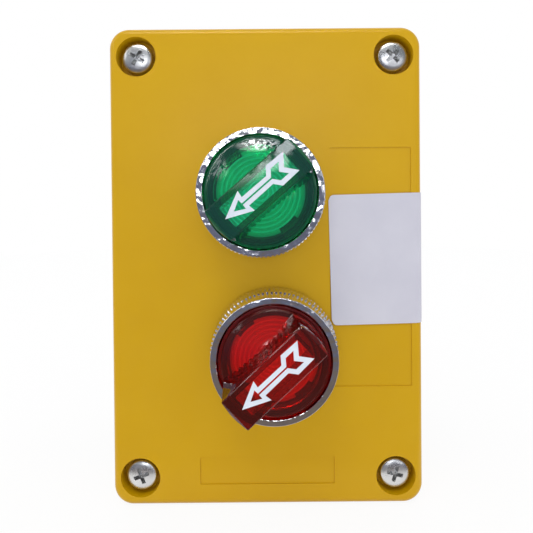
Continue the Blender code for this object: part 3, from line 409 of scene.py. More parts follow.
def milky_plastic():
    """Milky diffuser with a faint painted glow, standing in for the room's light that reaches it
    through the knob.
    """
    s = moulded("milky_moulding")
    # Painted light: the emission makes the disc glow as if lit, though its lamp is off
    s.shader.inputs["Emission Color"].default_value = (1.0, 1.0, 0.98, 1.0)
    s.shader.inputs["Emission Strength"].default_value = DIFFUSER_PAINTED_LIGHT
    return s.material


def metal(name):
    """Plated metal: a faint tarnish, a smeared gloss and fine drawn scratches."""
    pale, deep, smooth, coarse, scratch = METALS[name]
    s = Surface(name, metallic=1.0)
    s.colour(s.mixed(s.between(s.cloud(160.0, 4.0), 0.0, 1.0), deep, pale))
    s.rough(s.between(s.cloud(400.0, 5.0), smooth, coarse))
    s.bump(s.cloud(900.0, 4.0, (1.0, 1.0, 6.0)), scratch)
    return s


def chrome():
    """Bright plating on a surface that is a little uneven."""
    s = metal("bright_chrome")
    s.bump(s.cloud(420.0, 1.0), 0.00030)
    return s.material


def label_film():
    """Coated paper film, a touch blue, with a soft grain."""
    s = Surface("label_film")
    drift = s.between(s.cloud(90.0, 4.0), 0.0, 1.0)
    s.colour(s.mixed(drift, (0.585, 0.580, 0.665), (0.640, 0.635, 0.715)))
    s.rough(s.between(s.cloud(300.0), 0.42, 0.55))
    s.bump(s.cloud(2600.0, 3.0), 0.000004)
    return s.material


def white_ink():
    """Printed ink of uneven thickness."""
    s = Surface("arrow_ink")
    drift = s.between(s.cloud(500.0, 3.0), 0.0, 1.0)
    s.colour(s.mixed(drift, (0.68, 0.74, 0.84), (0.76, 0.81, 0.89)))
    s.rough(s.between(s.cloud(900.0), 0.38, 0.52))
    s.bump(s.cloud(3000.0), 0.000004)
    return s.material


def lens(prefix):
    """Tinted plastic: glassy skin, a little colour of its own and more of it with thickness."""
    tint, depth_colour = LENS_TINTS[prefix]
    s = Surface(prefix + "_lens_plastic")
    s.colour(s.mixed(s.between(s.cloud(200.0), 0.0, 1.0), tint, tuple(0.94 * c for c in tint)))
    s.rough(s.between(s.cloud(260.0, 4.0), 0.012, 0.05))
    s.shader.inputs["Transmission Weight"].default_value = LENS_CLARITY
    s.shader.inputs["IOR"].default_value = LENS_IOR
    s.bump(s.cloud(120.0, 2.0), 0.00002)
    inside = s.add("ShaderNodeVolumeAbsorption")
    inside.inputs["Color"].default_value = (*depth_colour, 1.0)
    inside.inputs["Density"].default_value = LENS_DENSITY
    s.link(inside.outputs["Volume"], s.tree.nodes["Material Output"].inputs["Volume"])
    return s.material


YELLOW = yellow_plastic()
BLACK = moulded("black_moulding").material
GREY = moulded("grey_moulding").material
PALE_GREY = moulded("pale_grey_moulding").material
WHITE = moulded("white_moulding").material
RUBBER = moulded("seal_rubber").material
MILKY = milky_plastic()
LAMP = moulded("lamp_bulb").material
CHROME = chrome()
ZINC = metal("zinc_plate").material
COPPER = metal("contact_copper").material
FILM = label_film()
INK = white_ink()
LENS = {prefix: lens(prefix) for prefix in LENS_TINTS}


# Enclosure

def block(name, bottom, top, bottom_fillet, top_fillet):
    """The enclosure's outer form: straight sides, with its end edges rounded."""
    steps = 8
    angles = [90.0 * i / steps for i in range(steps + 1)]
    below = reversed(angles) if bottom_fillet else (0.0,)
    above = angles if top_fillet else (0.0,)
    levels = [(bottom_fillet, a, -1) for a in below] + [(top_fillet, a, 1) for a in above]
    sections = []
    for fillet, angle, side in levels:
        inset = fillet * (1 - math.cos(math.radians(angle)))
        rise = fillet * (1 - math.sin(math.radians(angle)))
        height = top - rise if side > 0 else bottom + rise
        outline = rounded(HALF_WIDTH - inset, HALF_HEIGHT - inset, CORNER_RADIUS - inset, 12)
        sections.append((outline, height))
    return lofted(name, sections, WALL)


def cavity_outline():
    """The inside wall, which runs round the inner side of each screw post."""
    half_x = HALF_WIDTH - SIDE_WALL
    half_y = HALF_HEIGHT - SIDE_WALL
    rise = math.sqrt(POST_RADIUS**2 - (half_x - SCREW_X) ** 2)
    reach = math.sqrt(POST_RADIUS**2 - (half_y - SCREW_Y) ** 2)
    start = math.degrees(math.atan2(-rise, half_x - SCREW_X))
    end = math.degrees(math.atan2(half_y - SCREW_Y, -reach)) - 360.0
    corner = arc((SCREW_X, SCREW_Y), POST_RADIUS, start, end, 16)
    outline = list(corner)
    outline += [(-x, y) for x, y in reversed(corner)]
    outline += [(-x, -y) for x, y in corner]
    outline += [(x, -y) for x, y in reversed(corner)]
    return outline


def make_cover():
    cover = block("cover_shell", COVER_REAR, FACE, 0.0, FRONT_FILLET)
    over = FACE + FIT
    seat = FACE - HEAD_SINK - HEAD_HEIGHT - FIT
    recesses = ((LABEL_RECESS, LABEL_RECESS_AT), (NAME_RECESS, NAME_RECESS_AT))
    tools = [prism("cavity", cavity_outline(), COVER_REAR - FIT, FACE - PANEL_WALL, WALL)]
    for i, (size, at) in enumerate(recesses):
        outline = rounded(size[0] / 2, size[1] / 2, RECESS_CORNER, 3, at)
        tools.append(prism(f"recess_{i}", outline, FACE - RECESS_DEPTH, over, WALL))
    for name, sx, sy, _ in SCREW_TURNS:
        centre = (sx * SCREW_X, sy * SCREW_Y)
        bore = circle(centre, COUNTERBORE_RADIUS, 64)
        clear = circle(centre, SHANK_RADIUS + FIT, 24)
        tools.append(prism("bore_" + name, bore, seat, over, WALL))
        tools.append(prism("clear_" + name, clear, COVER_REAR - FIT, seat + FIT, WALL))
    for name, centre, _ in SWITCHES:
        tools.append(prism(name + "_hole", circle(centre, BARREL_RADIUS + FIT, 72),
                           FACE - PANEL_WALL - FIT, over, WALL))
    combine(cover, tools)
    soften(cover, 0.00012)
    return finish(cover, YELLOW, "box", ("cover",), None)


def make_base():
    base = block("base_shell", 0.0, BASE_DEPTH, BACK_FILLET, 0.0)
    tools = [prism("cavity", cavity_outline(), FLOOR_WALL, BASE_DEPTH + FIT, WALL)]
    combine(base, tools)
    spots = list(enumerate(rectangle(*WALL_HOLES)))
    boss_top = FLOOR_WALL + BOSS_HEIGHT
    bosses = [prism(f"boss_{i}", circle(at, BOSS_RADIUS, 32), FLOOR_WALL / 2, boss_top, WALL)
              for i, at in spots]
    combine(base, bosses, "UNION")
    holes = [prism(f"hole_{i}", circle(at, WALL_HOLE_RADIUS, 32), -FIT, boss_top + FIT, WALL)
             for i, at in spots]
    tip = FACE - HEAD_SINK - HEAD_HEIGHT - SCREW_LENGTH
    for name, sx, sy, _ in SCREW_TURNS:
        centre = (sx * SCREW_X, sy * SCREW_Y)
        holes.append(prism("pilot_" + name, circle(centre, SHANK_RADIUS + FIT, 24), tip - FIT,
                           BASE_DEPTH + FIT, WALL))
    for side in (1, -1):
        lie = WALL @ Matrix.Translation((0.0, side * HALF_HEIGHT, BASE_DEPTH / 2))
        lie = lie @ Matrix.Rotation(math.radians(90.0), 4, "X")
        disc = circle((0.0, 0.0), KNOCKOUT_RADIUS, 64)
        holes.append(prism(f"knockout_{side}", disc, -KNOCKOUT_DEPTH, KNOCKOUT_DEPTH, lie))
    combine(base, holes)
    inner, outer = (rounded(HALF_WIDTH - inset, HALF_HEIGHT - inset, CORNER_RADIUS - inset, 8)
                    for inset in GROOVE_INSETS)
    bottom, over = BASE_DEPTH - GROOVE_DEPTH, BASE_DEPTH + FIT
    groove = prism("groove", outer, bottom, over, WALL)
    combine(groove, [prism("groove_island", inner, bottom - FIT, over + FIT, WALL)])
    combine(base, [groove])
    soften(base, 0.00015)
    return finish(base, BLACK, "box", ("base",), None)


def make_screw(name, sx, sy, turn):
    """Pan head with a soft crown, a flared cross recess and a threaded shank."""
    place = WALL @ Matrix.Translation((sx * SCREW_X, sy * SCREW_Y, 0.0))
    place = place @ Matrix.Rotation(math.radians(turn), 4, "Z")
    under = FACE - HEAD_SINK - HEAD_HEIGHT
    top = FACE - HEAD_SINK + HEAD_CROWN
    tip = under - SCREW_LENGTH
    crown = [(HEAD_RADIUS * 0.84 * i / 5, top - 0.0003 * (i / 5) ** 2) for i in range(6)]
    edge = arc((HEAD_RADIUS - 0.0005, top - 0.0009), 0.0005, 76.0, 0.0, 6)
    profile = crown + edge + [(HEAD_RADIUS, under + 0.0001), (HEAD_RADIUS - 0.0001, under)]
    profile += [(SHANK_RADIUS, under), (SHANK_RADIUS, under - 0.0010), (0.0, under - 0.0010)]
    head = turned("screw_" + name, profile, 56, place)
    # Half width and reach of the cross's arms, at the top and at the bottom
    arms = ((0.00052, 0.0022), (0.00034, 0.0013))
    tools = []
    for arm in range(2):
        sections = []
        for (half, reach), z in zip(arms, (top + FIT, top - 0.0019)):
            size = (reach, half) if arm else (half, reach)
            sections.append((rectangle(*size), z))
        tools.append(lofted(f"arm_{arm}_{name}", sections, place))
    flare = place @ Matrix.Rotation(math.radians(45.0), 4, "Z")
    tools.append(lofted("flare_" + name, ((rectangle(0.00085, 0.00085), top + FIT),
                                          (rectangle(0.0001, 0.0001), top - 0.0017)), flare))
    combine(head, tools)
    shank = thread("shank_" + name, tip, under - 0.0008, place)
    combine(head, [shank], "UNION")
    return finish(head, ZINC, "box", ("cover_screw_" + name,), 30.0)


def thread(name, tip, top, place):
    """A shank with a single helical ridge that fades into its point."""
    around, rows_per_turn, pitch, depth = 20, 6, 0.0011, 0.00035
    rows = int((top - tip) / pitch * rows_per_turn)
    bm = bmesh.new()
    rings = []
    for row in range(rows + 1):
        z = tip + (top - tip) * row / rows
        point = min(1.0, 0.25 + (z - tip) / 0.0030)
        fade = min(1.0, (top - z) / 0.0010)
        ring = []
        for i in range(around):
            turn = math.tau * i / around
            wave = abs(((z - tip) / pitch - i / around) % 1.0 - 0.5) * 2
            radius = (SHANK_RADIUS - 0.00002) * point - depth * (wave**0.7) * fade * point
            ring.append(bm.verts.new((radius * math.cos(turn), radius * math.sin(turn), z)))
        rings.append(ring)
    for lower, upper in zip(rings, rings[1:]):
        for i in range(around):
            j = (i + 1) % around
            bm.faces.new((lower[i], lower[j], upper[j]))
            bm.faces.new((lower[i], upper[j], upper[i]))
    bm.faces.new(rings[0][::-1])
    bm.faces.new(rings[-1])
    return piece(name, bm, place)


def make_sticker():
    """The blank label film: flat on the face and folded down the side, with faint dents."""
    left, height, centre_y, tilt = 0.0161, 0.0330, 0.0016, math.tan(math.radians(1.2))
    glue, thickness, corner, side_run = 0.00005, 0.00013, 0.0014, 0.0120
    flat_end = HALF_WIDTH - FRONT_FILLET
    bend = FRONT_FILLET + glue
    path = [(left + (flat_end - left) * i / 44, FACE + glue, (0.0, 1.0)) for i in range(45)]
    for i in range(1, 11):
        a = math.radians(9.0 * i)
        path.append((flat_end + bend * math.sin(a), FACE - FRONT_FILLET + bend * math.cos(a),
                     (math.sin(a), math.cos(a))))
    path += [(HALF_WIDTH + glue, FACE - FRONT_FILLET - side_run * i / 24, (1.0, 0.0))
             for i in range(1, 25)]
    runs = [0.0]
    for (x0, z0, _), (x1, z1, _) in zip(path, path[1:]):
        runs.append(runs[-1] + math.hypot(x1 - x0, z1 - z0))
    rows = 36

    def drop(run):
        near = min(run, runs[-1] - run)
        if near >= corner:
            return 0.0
        return corner - math.sqrt(max(corner**2 - (corner - near) ** 2, 0.0))

    bm = bmesh.new()
    layers = []
    for lift in (0.0, thickness):
        columns = []
        for (x, z, (nx, nz)), run in zip(path, runs):
            half = height / 2 - drop(run)
            column = []
            for j in range(rows + 1):
                t = half * (2 * j / rows - 1)
                lean = t * tilt if x < flat_end else 0.0
                y = centre_y + run * tilt + t
                wave = noise.noise(Vector((run * 160.0, t * 110.0, 3.0)))
                crease = noise.noise(Vector((run * 40.0, t * 60.0, 9.0)))
                dent = 0.0
                if lift:
                    dent = 0.00002 * max(wave, -0.2) + 0.00003 * max(0.0, 0.35 - abs(crease))
                out = lift + min(max(dent, 0.0), 0.00002)
                column.append(bm.verts.new((x - lean + nx * out, y, z + nz * out)))
            columns.append(column)
        layers.append(columns)
    under, over = layers
    last = len(path) - 1
    for i in range(last):
        for j in range(rows):
            bm.faces.new((over[i][j], over[i + 1][j], over[i + 1][j + 1], over[i][j + 1]))
            bm.faces.new((under[i][j], under[i][j + 1], under[i + 1][j + 1], under[i + 1][j]))
        for j in (0, rows):
            bm.faces.new((under[i][j], under[i + 1][j], over[i + 1][j], over[i][j]))
    for i in (0, last):
        for j in range(rows):
            bm.faces.new((under[i][j], under[i][j + 1], over[i][j + 1], over[i][j]))
    sticker = piece("blank_label", bm, WALL)
    return finish(sticker, FILM, "box", ("label_sticker",), 40.0)


# Switches

def knurl_radius(turn, height):
    """The skirt's radius: two staggered rows of lands with chamfered ends over a smooth cone."""
    cone = BEZEL_FOOT - BEZEL_TAPER * height
    best = cone - KNURL_DEPTH
    for phase, low, high, run_out in KNURL_ROWS:
        if not low < height <= high:
            continue
        side = abs((turn + phase) % 1.0 - 0.5) * 2
        flank = min(max((KNURL_LAND - side) / KNURL_FLANK + 1.0, 0.0), 1.0)
        end = min((high - height) / (KNURL_DEPTH * run_out), 1.0)
        best = max(best, cone - KNURL_DEPTH * (1 - min(flank, end)))
    return best


def make_bezel(prefix, place):
    """Chrome ring: knurled skirt, smooth taper, round rim and a nearly flat top."""
    fine = 8
    bore = BARREL_HEAD_RADIUS + FIT
    steps = KNURL_COUNT * fine
    bm = bmesh.new()
    angles = [math.tau * i / steps for i in range(steps)]

    def ring(radii, height):
        return [bm.verts.new((r * math.cos(a), r * math.sin(a), height))
                for r, a in zip(radii, angles)]

    heights = [KNURL_STEP * i for i in range(1, 25)]
    rings = [ring([knurl_radius(i / fine, h) for i in range(steps)], h) for h in heights]
    low, top = heights[-1] + KNURL_STEP, BEZEL_HEIGHT
    plain = [(BEZEL_FOOT - BEZEL_TAPER * low - KNURL_DEPTH, low), (BEZEL_RIM, top - 0.0006)]
    plain += arc((BEZEL_RIM - 0.00016, top - 0.00018), 0.00016, 0.0, 85.0, 4)
    plain += [(BEZEL_RIM - 0.00022, top - 0.000017), (bore + 0.00018, top), (bore + 0.00012, top)]
    plain += arc((bore + 0.00012, top - 0.00012), 0.00012, 90.0, 180.0, 3)
    plain += [(bore, HEAD_SEAT), (0.0149, HEAD_SEAT), (0.0149, FIT)]
    rings += [ring([radius] * steps, height) for radius, height in plain]
    rings.append(rings[0])
    for lower, upper in zip(rings, rings[1:]):
        for i in range(steps):
            j = (i + 1) % steps
            bm.faces.new((lower[i], lower[j], upper[j], upper[i]))
    made = piece(prefix + "_chrome_ring", bm, place)
    return finish(made, CHROME, "box", (prefix + "_bezel_ring",), 22.0)


def grip_outline(half, relief, end_radius, half_length):
    """The grip's outline: a row of round ribs along the flanks, and round or straight ends."""
    ribs, pitch, steps = 11, 0.0015, 6
    ribbed = ribs * pitch / 2
    flank = [(ribbed, half)]
    for i in range(1, ribs * steps):
        rise = abs(math.sin(math.pi * i / steps))
        flank.append((ribbed - i / steps * pitch, half - relief * (1 - rise)))
    flank.append((-ribbed, half))
    ends = 10
    if end_radius:
        spread = math.degrees(math.asin(half / end_radius))
        end = arc((0.0, 0.0), end_radius, -spread, spread, ends)
    else:
        corner = 0.0003
        end = arc((half_length - corner, -half + corner), corner, -90.0, 0.0, ends // 2)
        end += arc((half_length - corner, half - corner), corner, 0.0, 90.0, ends // 2)
        end.pop(ends // 2)
    return end + flank + [(-x, -y) for x, y in end] + [(-x, -y) for x, y in flank]


def make_knob(prefix, place):
    """The clear knob: skirt, flange, stepped edge, shallow dome and the hollow ribbed grip."""
    wall, flange_top, flange_bottom = 0.0014, 0.0116, BARREL_HEAD_TOP + FIT
    step_radius, step_top, dome_radius, dome_top = 0.0122, 0.0129, 0.01195, 0.0158
    skirt_bottom = HEAD_FLOOR_TOP + FIT
    shares = [1.0, 0.985, 0.96] + [i / 12 for i in range(11, 0, -1)]
    dome = [(dome_radius * t, step_top + (dome_top - step_top) * (1 - t**2)) for t in shares]
    profile = [(0.0, skirt_bottom), (SKIRT_RADIUS, skirt_bottom), (SKIRT_RADIUS, flange_bottom),
               (BARREL_HEAD_RADIUS, flange_bottom)]
    profile += arc((BARREL_HEAD_RADIUS - 0.00025, flange_top - 0.00025), 0.00025, 0.0, 90.0, 4)
    profile += [(step_radius + 0.00015, flange_top), (step_radius, flange_top + 0.00015)]
    profile += arc((step_radius - 0.0002, step_top - 0.0002), 0.0002, 0.0, 90.0, 4)
    profile += [*dome, (0.0, dome_top)]
    knob = turned(prefix + "_clear_knob", profile, 96, place)
    half, drop, top = 0.00395, 0.0009, GRIP_TOP
    slope, rib_slope, rib_top = 0.090, 0.066, 0.0217

    def half_at(height):
        return half + slope * (top - height)

    def ribbed_at(height):
        relief = rib_slope * (rib_top - height)
        return grip_outline(half_at(height) + relief, relief, end, length)

    end, length, edge = 0.0121, 0.0114, 0.0002
    sections = [
        (ribbed_at(flange_top), flange_top),
        (ribbed_at(rib_top - 0.0010), rib_top - 0.0010),
        (grip_outline(half_at(rib_top), 0.0, end, length), rib_top),
        (grip_outline(half_at(top - drop), 0.0, end, length), top - drop),
        (grip_outline(half + edge / 2, 0.0, 0.0, length + edge / 2), top - edge),
        (grip_outline(half - edge / 2, 0.0, 0.0, length - edge / 2), top),
    ]
    grip = lofted(prefix + "_grip", sections, place)
    inside = [(0.0, skirt_bottom - FIT), (SKIRT_BORE, skirt_bottom - FIT)]
    inside += [(SKIRT_BORE, flange_bottom)]
    inside += [(radius - wall, height - wall) for radius, height in dome] + [(0.0, dome_top - wall)]
    core = turned(prefix + "_core", inside, 96, place)
    slot = rounded(0.00885, 0.00265, 0.0004, 3)
    hollow = prism(prefix + "_hollow", slot, flange_bottom, top - 0.0013, place)
    combine(knob, [grip], "UNION")
    combine(knob, [core, hollow])
    combine(knob, [key_block(f"{prefix}_key_{side}", side, place) for side in (1, -1)], "UNION")
    nodes = (prefix + "_knob",)
    return finish(knob, LENS[prefix], prefix + "_knob", nodes, 24.0)


def key_block(name, side, place):
    """A key inside the skirt that carries the diffuser and the rotor round."""
    inner = INSERT_RADIUS - 0.0010 + FIT
    outer = SKIRT_BORE + 0.0007
    middle, half = 90.0 * side, 12.6
    outline = arc((0.0, 0.0), outer, middle - half, middle + half, 6)
    outline += arc((0.0, 0.0), inner, middle + half, middle - half, 6)
    return prism(name, outline, HEAD_FLOOR_TOP + 2 * FIT, 0.0090, place)


def make_arrow(prefix, place):
    """The white outline arrow printed on the grip's top: its point leads along +x."""
    # One side of the outer and of the inner outline, in millimetres, from the point to the tail
    outer = [(9.3, 0.0), (3.5, 2.7), (3.75, 1.15), (-2.9, 1.08), (-4.2, 2.7), (-8.85, 2.55),
             (-6.85, 0.0)]
    inner = [(6.9, 0.0), (4.65, 1.2), (4.6, 0.18), (-3.45, 0.18), (-4.6, 1.6), (-6.8, 1.6),
             (-5.45, 0.0)]
    bm = bmesh.new()
    bottom, top = GRIP_TOP + 0.000005, GRIP_TOP + 0.00006
    loops = []
    for shape in (outer, inner):
        path = [(x / 1000, y / 1000) for x, y in shape]
        path += [(x, -y) for x, y in reversed(path[1:-1])]
        loops.append([[bm.verts.new((x, y, z)) for x, y in path] for z in (bottom, top)])
    (outer_low, outer_high), (inner_low, inner_high) = loops
    for near, far in ((outer_low, outer_high), (outer_high, inner_high), (inner_high, inner_low),
                      (inner_low, outer_low)):
        for i in range(len(near)):
            j = (i + 1) % len(near)
            bm.faces.new((near[i], near[j], far[j], far[i]))
    arrow = piece(prefix + "_arrow", bm, place)
    return finish(arrow, INK, prefix + "_knob", (), 30.0)


def make_light_disc(prefix, place):
    """The milky disc under the dome, with fine concentric ridges and two notches."""
    bottom, top, pitch = 0.0078, 0.0090, 0.00103
    edge = 0.00035
    # Inward share of the pitch and drop below the top, across one ridge and its groove
    ridge_form = ((0.0, 0.0003), (0.10, 0.00004), (0.35, 0.0), (0.60, 0.00004), (0.70, 0.0003),
                  (0.85, 0.0007))
    profile = [(0.0, bottom), (INSERT_RADIUS, bottom), (INSERT_RADIUS, top - 2 * edge)]
    for ridge in range(10):
        outer = INSERT_RADIUS - edge - ridge * pitch
        if outer - pitch <= 0.0:
            break
        profile += [(outer - share * pitch, top - drop) for share, drop in ridge_form]
    profile.append((0.0, top - 0.0003))
    disc = turned(prefix + "_light_disc", profile, 96, place)
    cutters = []
    for side in (1, -1):
        middle = 90.0 * side
        outline = arc((0.0, 0.0), SKIRT_RADIUS, middle - 14.5, middle + 14.5, 6)
        outline += arc((0.0, 0.0), INSERT_RADIUS - 0.0010, middle + 14.5, middle - 14.5, 6)
        cutters.append(prism(f"notch_{side}", outline, bottom - FIT, top + FIT, place))
    combine(disc, cutters)
    return finish(disc, MILKY, prefix + "_knob", (prefix + "_diffuser",), 35.0)


def make_barrel(prefix, place):
    """The grey tube with its cup-shaped head, smooth enough to be seen through the knob."""
    cup, head, edge = BARREL_HEAD_RADIUS - 0.0008, BARREL_HEAD_TOP, 0.0001
    profile = [(BARREL_BORE, -BARREL_REAR), (BARREL_RADIUS - 0.0003, -BARREL_REAR)]
    profile += [(BARREL_RADIUS, -BARREL_REAR + 0.0003)]
    z = -BARREL_REAR + 0.0006
    while z < -PANEL_WALL - 0.0046:
        profile += [(BARREL_RADIUS, z), (BARREL_RADIUS - 0.0002, z + 0.00035)]
        z += 0.0007
    profile += [(BARREL_RADIUS, -PANEL_WALL - 0.0040), (BARREL_RADIUS, HEAD_SEAT)]
    profile += [(BARREL_HEAD_RADIUS, HEAD_SEAT), (BARREL_HEAD_RADIUS, head - edge)]
    profile += [(BARREL_HEAD_RADIUS - edge, head), (cup + edge, head), (cup, head - edge)]
    profile += [(cup, HEAD_FLOOR_TOP), (BARREL_BORE, HEAD_FLOOR_TOP)]
    barrel = turned(prefix + "_clear_bore_barrel", profile, 72, place)
    return finish(barrel, PALE_GREY, "box", (prefix + "_barrel",), 30.0)


def make_return_spring(prefix, kind):
    """A round wire coil in the solid spring's place, with its turns closer together at both ends.
    """
    node = f"{prefix}_{kind}_return_spring"
    low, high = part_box(node)
    across, _, up = [(a + b) / 2 for a, b in zip(low, high)]
    front, rear = low[1] + SPRING_WIRE, high[1] - SPRING_WIRE
    around, count = 8, SPRING_TURNS * 20
    bm = bmesh.new()
    rings = []
    for i in range(count + 1):
        turn = math.tau * SPRING_TURNS * i / count
        share = i / count - 0.7 * math.sin(math.tau * i / count) / math.tau
        out = Vector((math.cos(turn), 0.0, math.sin(turn)))
        along = Vector((0.0, 1.0, 0.0))
        middle = Vector((across, front + (rear - front) * share, up)) + out * SPRING_RADIUS
        rings.append([bm.verts.new(middle + SPRING_WIRE * (out * x + along * y))
                      for x, y in circle((0.0, 0.0), 1.0, around)])
    for lower, upper in zip(rings, rings[1:]):
        for j in range(around):
            k = (j + 1) % around
            bm.faces.new((lower[j], lower[k], upper[k], upper[j]))
    bm.faces.new(rings[0][::-1])
    bm.faces.new(rings[-1])
    coil = piece(node + "_coil", bm, Matrix.Identity(4))
    finish(coil, ZINC, "box", (node,), 60.0)
    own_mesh(coil)


def dress_inner_nodes():
    """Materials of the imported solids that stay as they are."""
    endings = (
        ("_gasket", RUBBER), ("_locknut", ZINC), ("_rotor", GREY), ("_retaining_clip", ZINC),
        ("_block_carrier", BLACK), ("_lamp", LAMP), ("_lamp_holder", GREY),
        ("_contact_block", GREY), ("_plunger", WHITE), ("_contact_bridge", COPPER),
        ("_terminal_upper", COPPER), ("_terminal_lower", COPPER),
    )
    for name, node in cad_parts.items():
        for ending, surface in endings:
            if name.endswith(ending):
                node.data.materials.clear()
                node.data.materials.append(surface)


# Stage, light and camera

def maths(tree, operation, *terms):
    """A sum on outputs and plain numbers."""
    node = tree.nodes.new("ShaderNodeMath")
    node.operation = operation
    for socket, term in zip(node.inputs, terms):
        if isinstance(term, float):
            socket.default_value = term
        else:
            tree.links.new(term, socket)
    return node.outputs[0]


def faded(tree, value, full, none, peak=1.0):
    """A number that falls smoothly from its peak to 0."""
    node = tree.nodes.new("ShaderNodeMapRange")
    node.interpolation_type = "SMOOTHSTEP"
    for key, number in (("From Min", full), ("From Max", none), ("To Min", peak), ("To Max", 0.0)):
        node.inputs[key].default_value = number
    tree.links.new(value, node.inputs["Value"])
    return node.outputs["Result"]


def seen_directly(tree):
    """1 for rays that the camera, metal or glass sees by, 0 for rays that light the object."""
    path = tree.nodes.new("ShaderNodeLightPath")
    total = path.outputs["Is Camera Ray"]
    for kind in ("Is Glossy Ray", "Is Transmission Ray"):
        total = maths(tree, "MAXIMUM", total, path.outputs[kind])
    first = maths(tree, "LESS_THAN", path.outputs["Diffuse Depth"], 0.5)
    return maths(tree, "MULTIPLY", total, first), path


def make_floor():
    """The pale floor, which keeps the object's shadow and is nearly white to the camera."""
    bm = bmesh.new()
    bmesh.ops.create_circle(bm, cap_ends=True, segments=96, radius=FLOOR_RADIUS)
    floor = piece("floor", bm, Matrix.Translation((0.0, FLOOR_BEHIND, -HALF_HEIGHT - 0.00005)))
    material = bpy.data.materials.new("pale_floor")
    material.use_nodes = True
    tree = material.node_tree
    shader = tree.nodes["Principled BSDF"]
    shader.inputs["Base Color"].default_value = (0.97, 0.97, 0.97, 1.0)
    shader.inputs["Roughness"].default_value = 0.9
    glow = tree.nodes.new("ShaderNodeEmission")
    mix = tree.nodes.new("ShaderNodeMixShader")
    seen, _ = seen_directly(tree)
    tree.links.new(maths(tree, "MULTIPLY", seen, FLOOR_WHITE), mix.inputs["Fac"])
    tree.links.new(shader.outputs[0], mix.inputs[1])
    tree.links.new(glow.outputs[0], mix.inputs[2])
    tree.links.new(mix.outputs[0], tree.nodes["Material Output"].inputs["Surface"])
    floor.data.materials.append(material)


def background(tree, strength, colour=(1.0, 1.0, 1.0)):
    """A background shader. Strength is a number or an output."""
    node = tree.nodes.new("ShaderNodeBackground")
    node.inputs["Color"].default_value = (*colour, 1.0)
    if isinstance(strength, float):
        node.inputs["Strength"].default_value = strength
    else:
        tree.links.new(strength, node.inputs["Strength"])
    return node


def blended(tree, factor, first, second):
    mix = tree.nodes.new("ShaderNodeMixShader")
    for source, socket in zip((factor, first, second), mix.inputs):
        tree.links.new(source, socket)
    return mix.outputs[0]


def make_world():
    """A white room, dim in front, with a few bright places that metal and knobs mirror."""
    world = bpy.data.worlds.new("room")
    bpy.context.scene.world = world
    world.use_nodes = True
    tree = world.node_tree
    tree.nodes.clear()
    seen, path = seen_directly(tree)
    split = tree.nodes.new("ShaderNodeSeparateXYZ")
    direction = tree.nodes.new("ShaderNodeTexCoord").outputs["Generated"]
    tree.links.new(direction, split.inputs[0])
    across, depth, up = split.outputs

    ramp = tree.nodes.new("ShaderNodeValToRGB")
    tree.links.new(maths(tree, "MULTIPLY_ADD", up, 0.5, 0.5), ramp.inputs["Fac"])
    for height, colour in ROOM_LEVELS[1:-1]:
        ramp.color_ramp.elements.new((height + 1) / 2).color = (*colour, 1.0)
    for element, (_, colour) in ((ramp.color_ramp.elements[0], ROOM_LEVELS[0]),
                                 (ramp.color_ramp.elements[-1], ROOM_LEVELS[-1])):
        element.color = (*colour, 1.0)
    front = background(tree, ROOM_PEAK)
    tree.links.new(ramp.outputs["Color"], front.inputs["Color"])

    glow = 0.0
    for (x, z), (reach_x, reach_z), lean, peak in ROOM_PATCHES:
        leaned = maths(tree, "SUBTRACT", up, maths(tree, "MULTIPLY", across, lean))
        off_x = maths(tree, "DIVIDE", maths(tree, "SUBTRACT", across, x), reach_x)
        off_z = maths(tree, "DIVIDE", maths(tree, "SUBTRACT", leaned, z), reach_z)
        square_x = maths(tree, "MULTIPLY", off_x, off_x)
        square_z = maths(tree, "MULTIPLY", off_z, off_z)
        off = maths(tree, "SQRT", maths(tree, "ADD", square_x, square_z))
        glow = maths(tree, "ADD", faded(tree, off, 0.55, 1.0, peak), glow)
    clouds = tree.nodes.new("ShaderNodeTexNoise")
    clouds.inputs["Scale"].default_value = 22.0
    clouds.inputs["Detail"].default_value = 4.0
    tree.links.new(direction, clouds.inputs["Vector"])
    glow = maths(tree, "MULTIPLY", glow, faded(tree, clouds.outputs["Fac"], 0.46, 0.53))
    bright = tree.nodes.new("ShaderNodeAddShader")
    tree.links.new(front.outputs[0], bright.inputs[0])
    tree.links.new(background(tree, glow, (0.95, 0.97, 1.0)).outputs[0], bright.inputs[1])

    behind = maths(tree, "SUBTRACT", 1.0, faded(tree, depth, -0.1, 0.4))
    white = maths(tree, "MAXIMUM", path.outputs["Is Camera Ray"], behind)
    shown = blended(tree, white, bright.outputs[0], background(tree, 1.0).outputs[0])
    colour, strength = ROOM_LIGHT
    lit = background(tree, strength, colour)
    output = tree.nodes.new("ShaderNodeOutputWorld")
    tree.links.new(blended(tree, seen, lit.outputs[0], shown), output.inputs["Surface"])


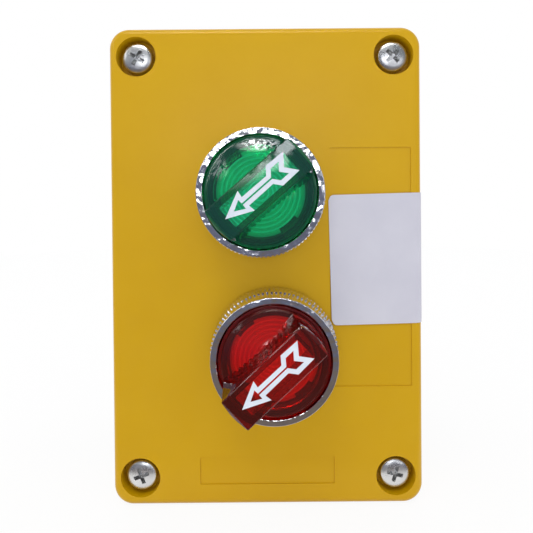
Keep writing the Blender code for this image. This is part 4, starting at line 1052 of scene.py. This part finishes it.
def make_lamp(name, location, size, power, colour):
    """An area lamp with soft edges, aimed at the middle of the face."""
    light = bpy.data.lights.new(name, "AREA")
    light.shape = "RECTANGLE"
    light.size, light.size_y = size
    light.energy = power
    light.color = colour
    light.use_nodes = True
    tree = light.node_tree
    spot = tree.nodes.new("ShaderNodeNewGeometry")
    reach = tree.nodes.new("ShaderNodeVectorMath")
    reach.operation = "DISTANCE"
    reach.inputs[1].default_value = (0.5, 0.5, 0.0)
    tree.links.new(spot.outputs["Parametric"], reach.inputs[0])
    strength = faded(tree, reach.outputs["Value"], 0.28, 0.50, 2.0)
    tree.links.new(strength, tree.nodes["Emission"].inputs["Strength"])
    lamp = bpy.data.objects.new(name, light)
    bpy.context.scene.collection.objects.link(lamp)
    lamp.location = location
    aim = Vector((0.0, -FACE, 0.0)) - Vector(location)
    lamp.rotation_euler = aim.to_track_quat("-Z", "Y").to_euler()


def make_camera():
    data = bpy.data.cameras.new("camera")
    data.lens = CAMERA_LENS
    data.sensor_width = 36.0
    data.shift_x, data.shift_y = CAMERA_SHIFT
    data.clip_start = 0.01
    data.clip_end = 20.0
    camera = bpy.data.objects.new("camera", data)
    bpy.context.scene.collection.objects.link(camera)
    turn = WALL
    for angle, axis in CAMERA_TURNS:
        turn = turn @ Matrix.Rotation(math.radians(angle), 4, axis)
    camera.matrix_world = Matrix.Translation(CAMERA_AT) @ turn
    bpy.context.scene.camera = camera


def main():
    make_camera()
    make_floor()
    make_world()
    make_lamp("key", **KEY_LAMP)
    make_cover()
    make_base()
    for screw in SCREW_TURNS:
        make_screw(*screw)
    make_sticker()
    for prefix, centre, skew in SWITCHES:
        switch = WALL @ Matrix.Translation((*centre, FACE))
        switch = switch @ Matrix.Rotation(math.radians(skew), 4, "Z")
        knob = switch @ Matrix.Rotation(math.radians(POINTER_REST), 4, "Z")
        make_bezel(prefix, switch)
        make_barrel(prefix, switch)
        make_knob(prefix, knob)
        make_arrow(prefix, knob)
        make_light_disc(prefix, knob)
        for kind in ("no", "nc"):
            make_return_spring(prefix, kind)
    dress_inner_nodes()
    bpy.context.scene.view_settings.view_transform = "Standard"


main()
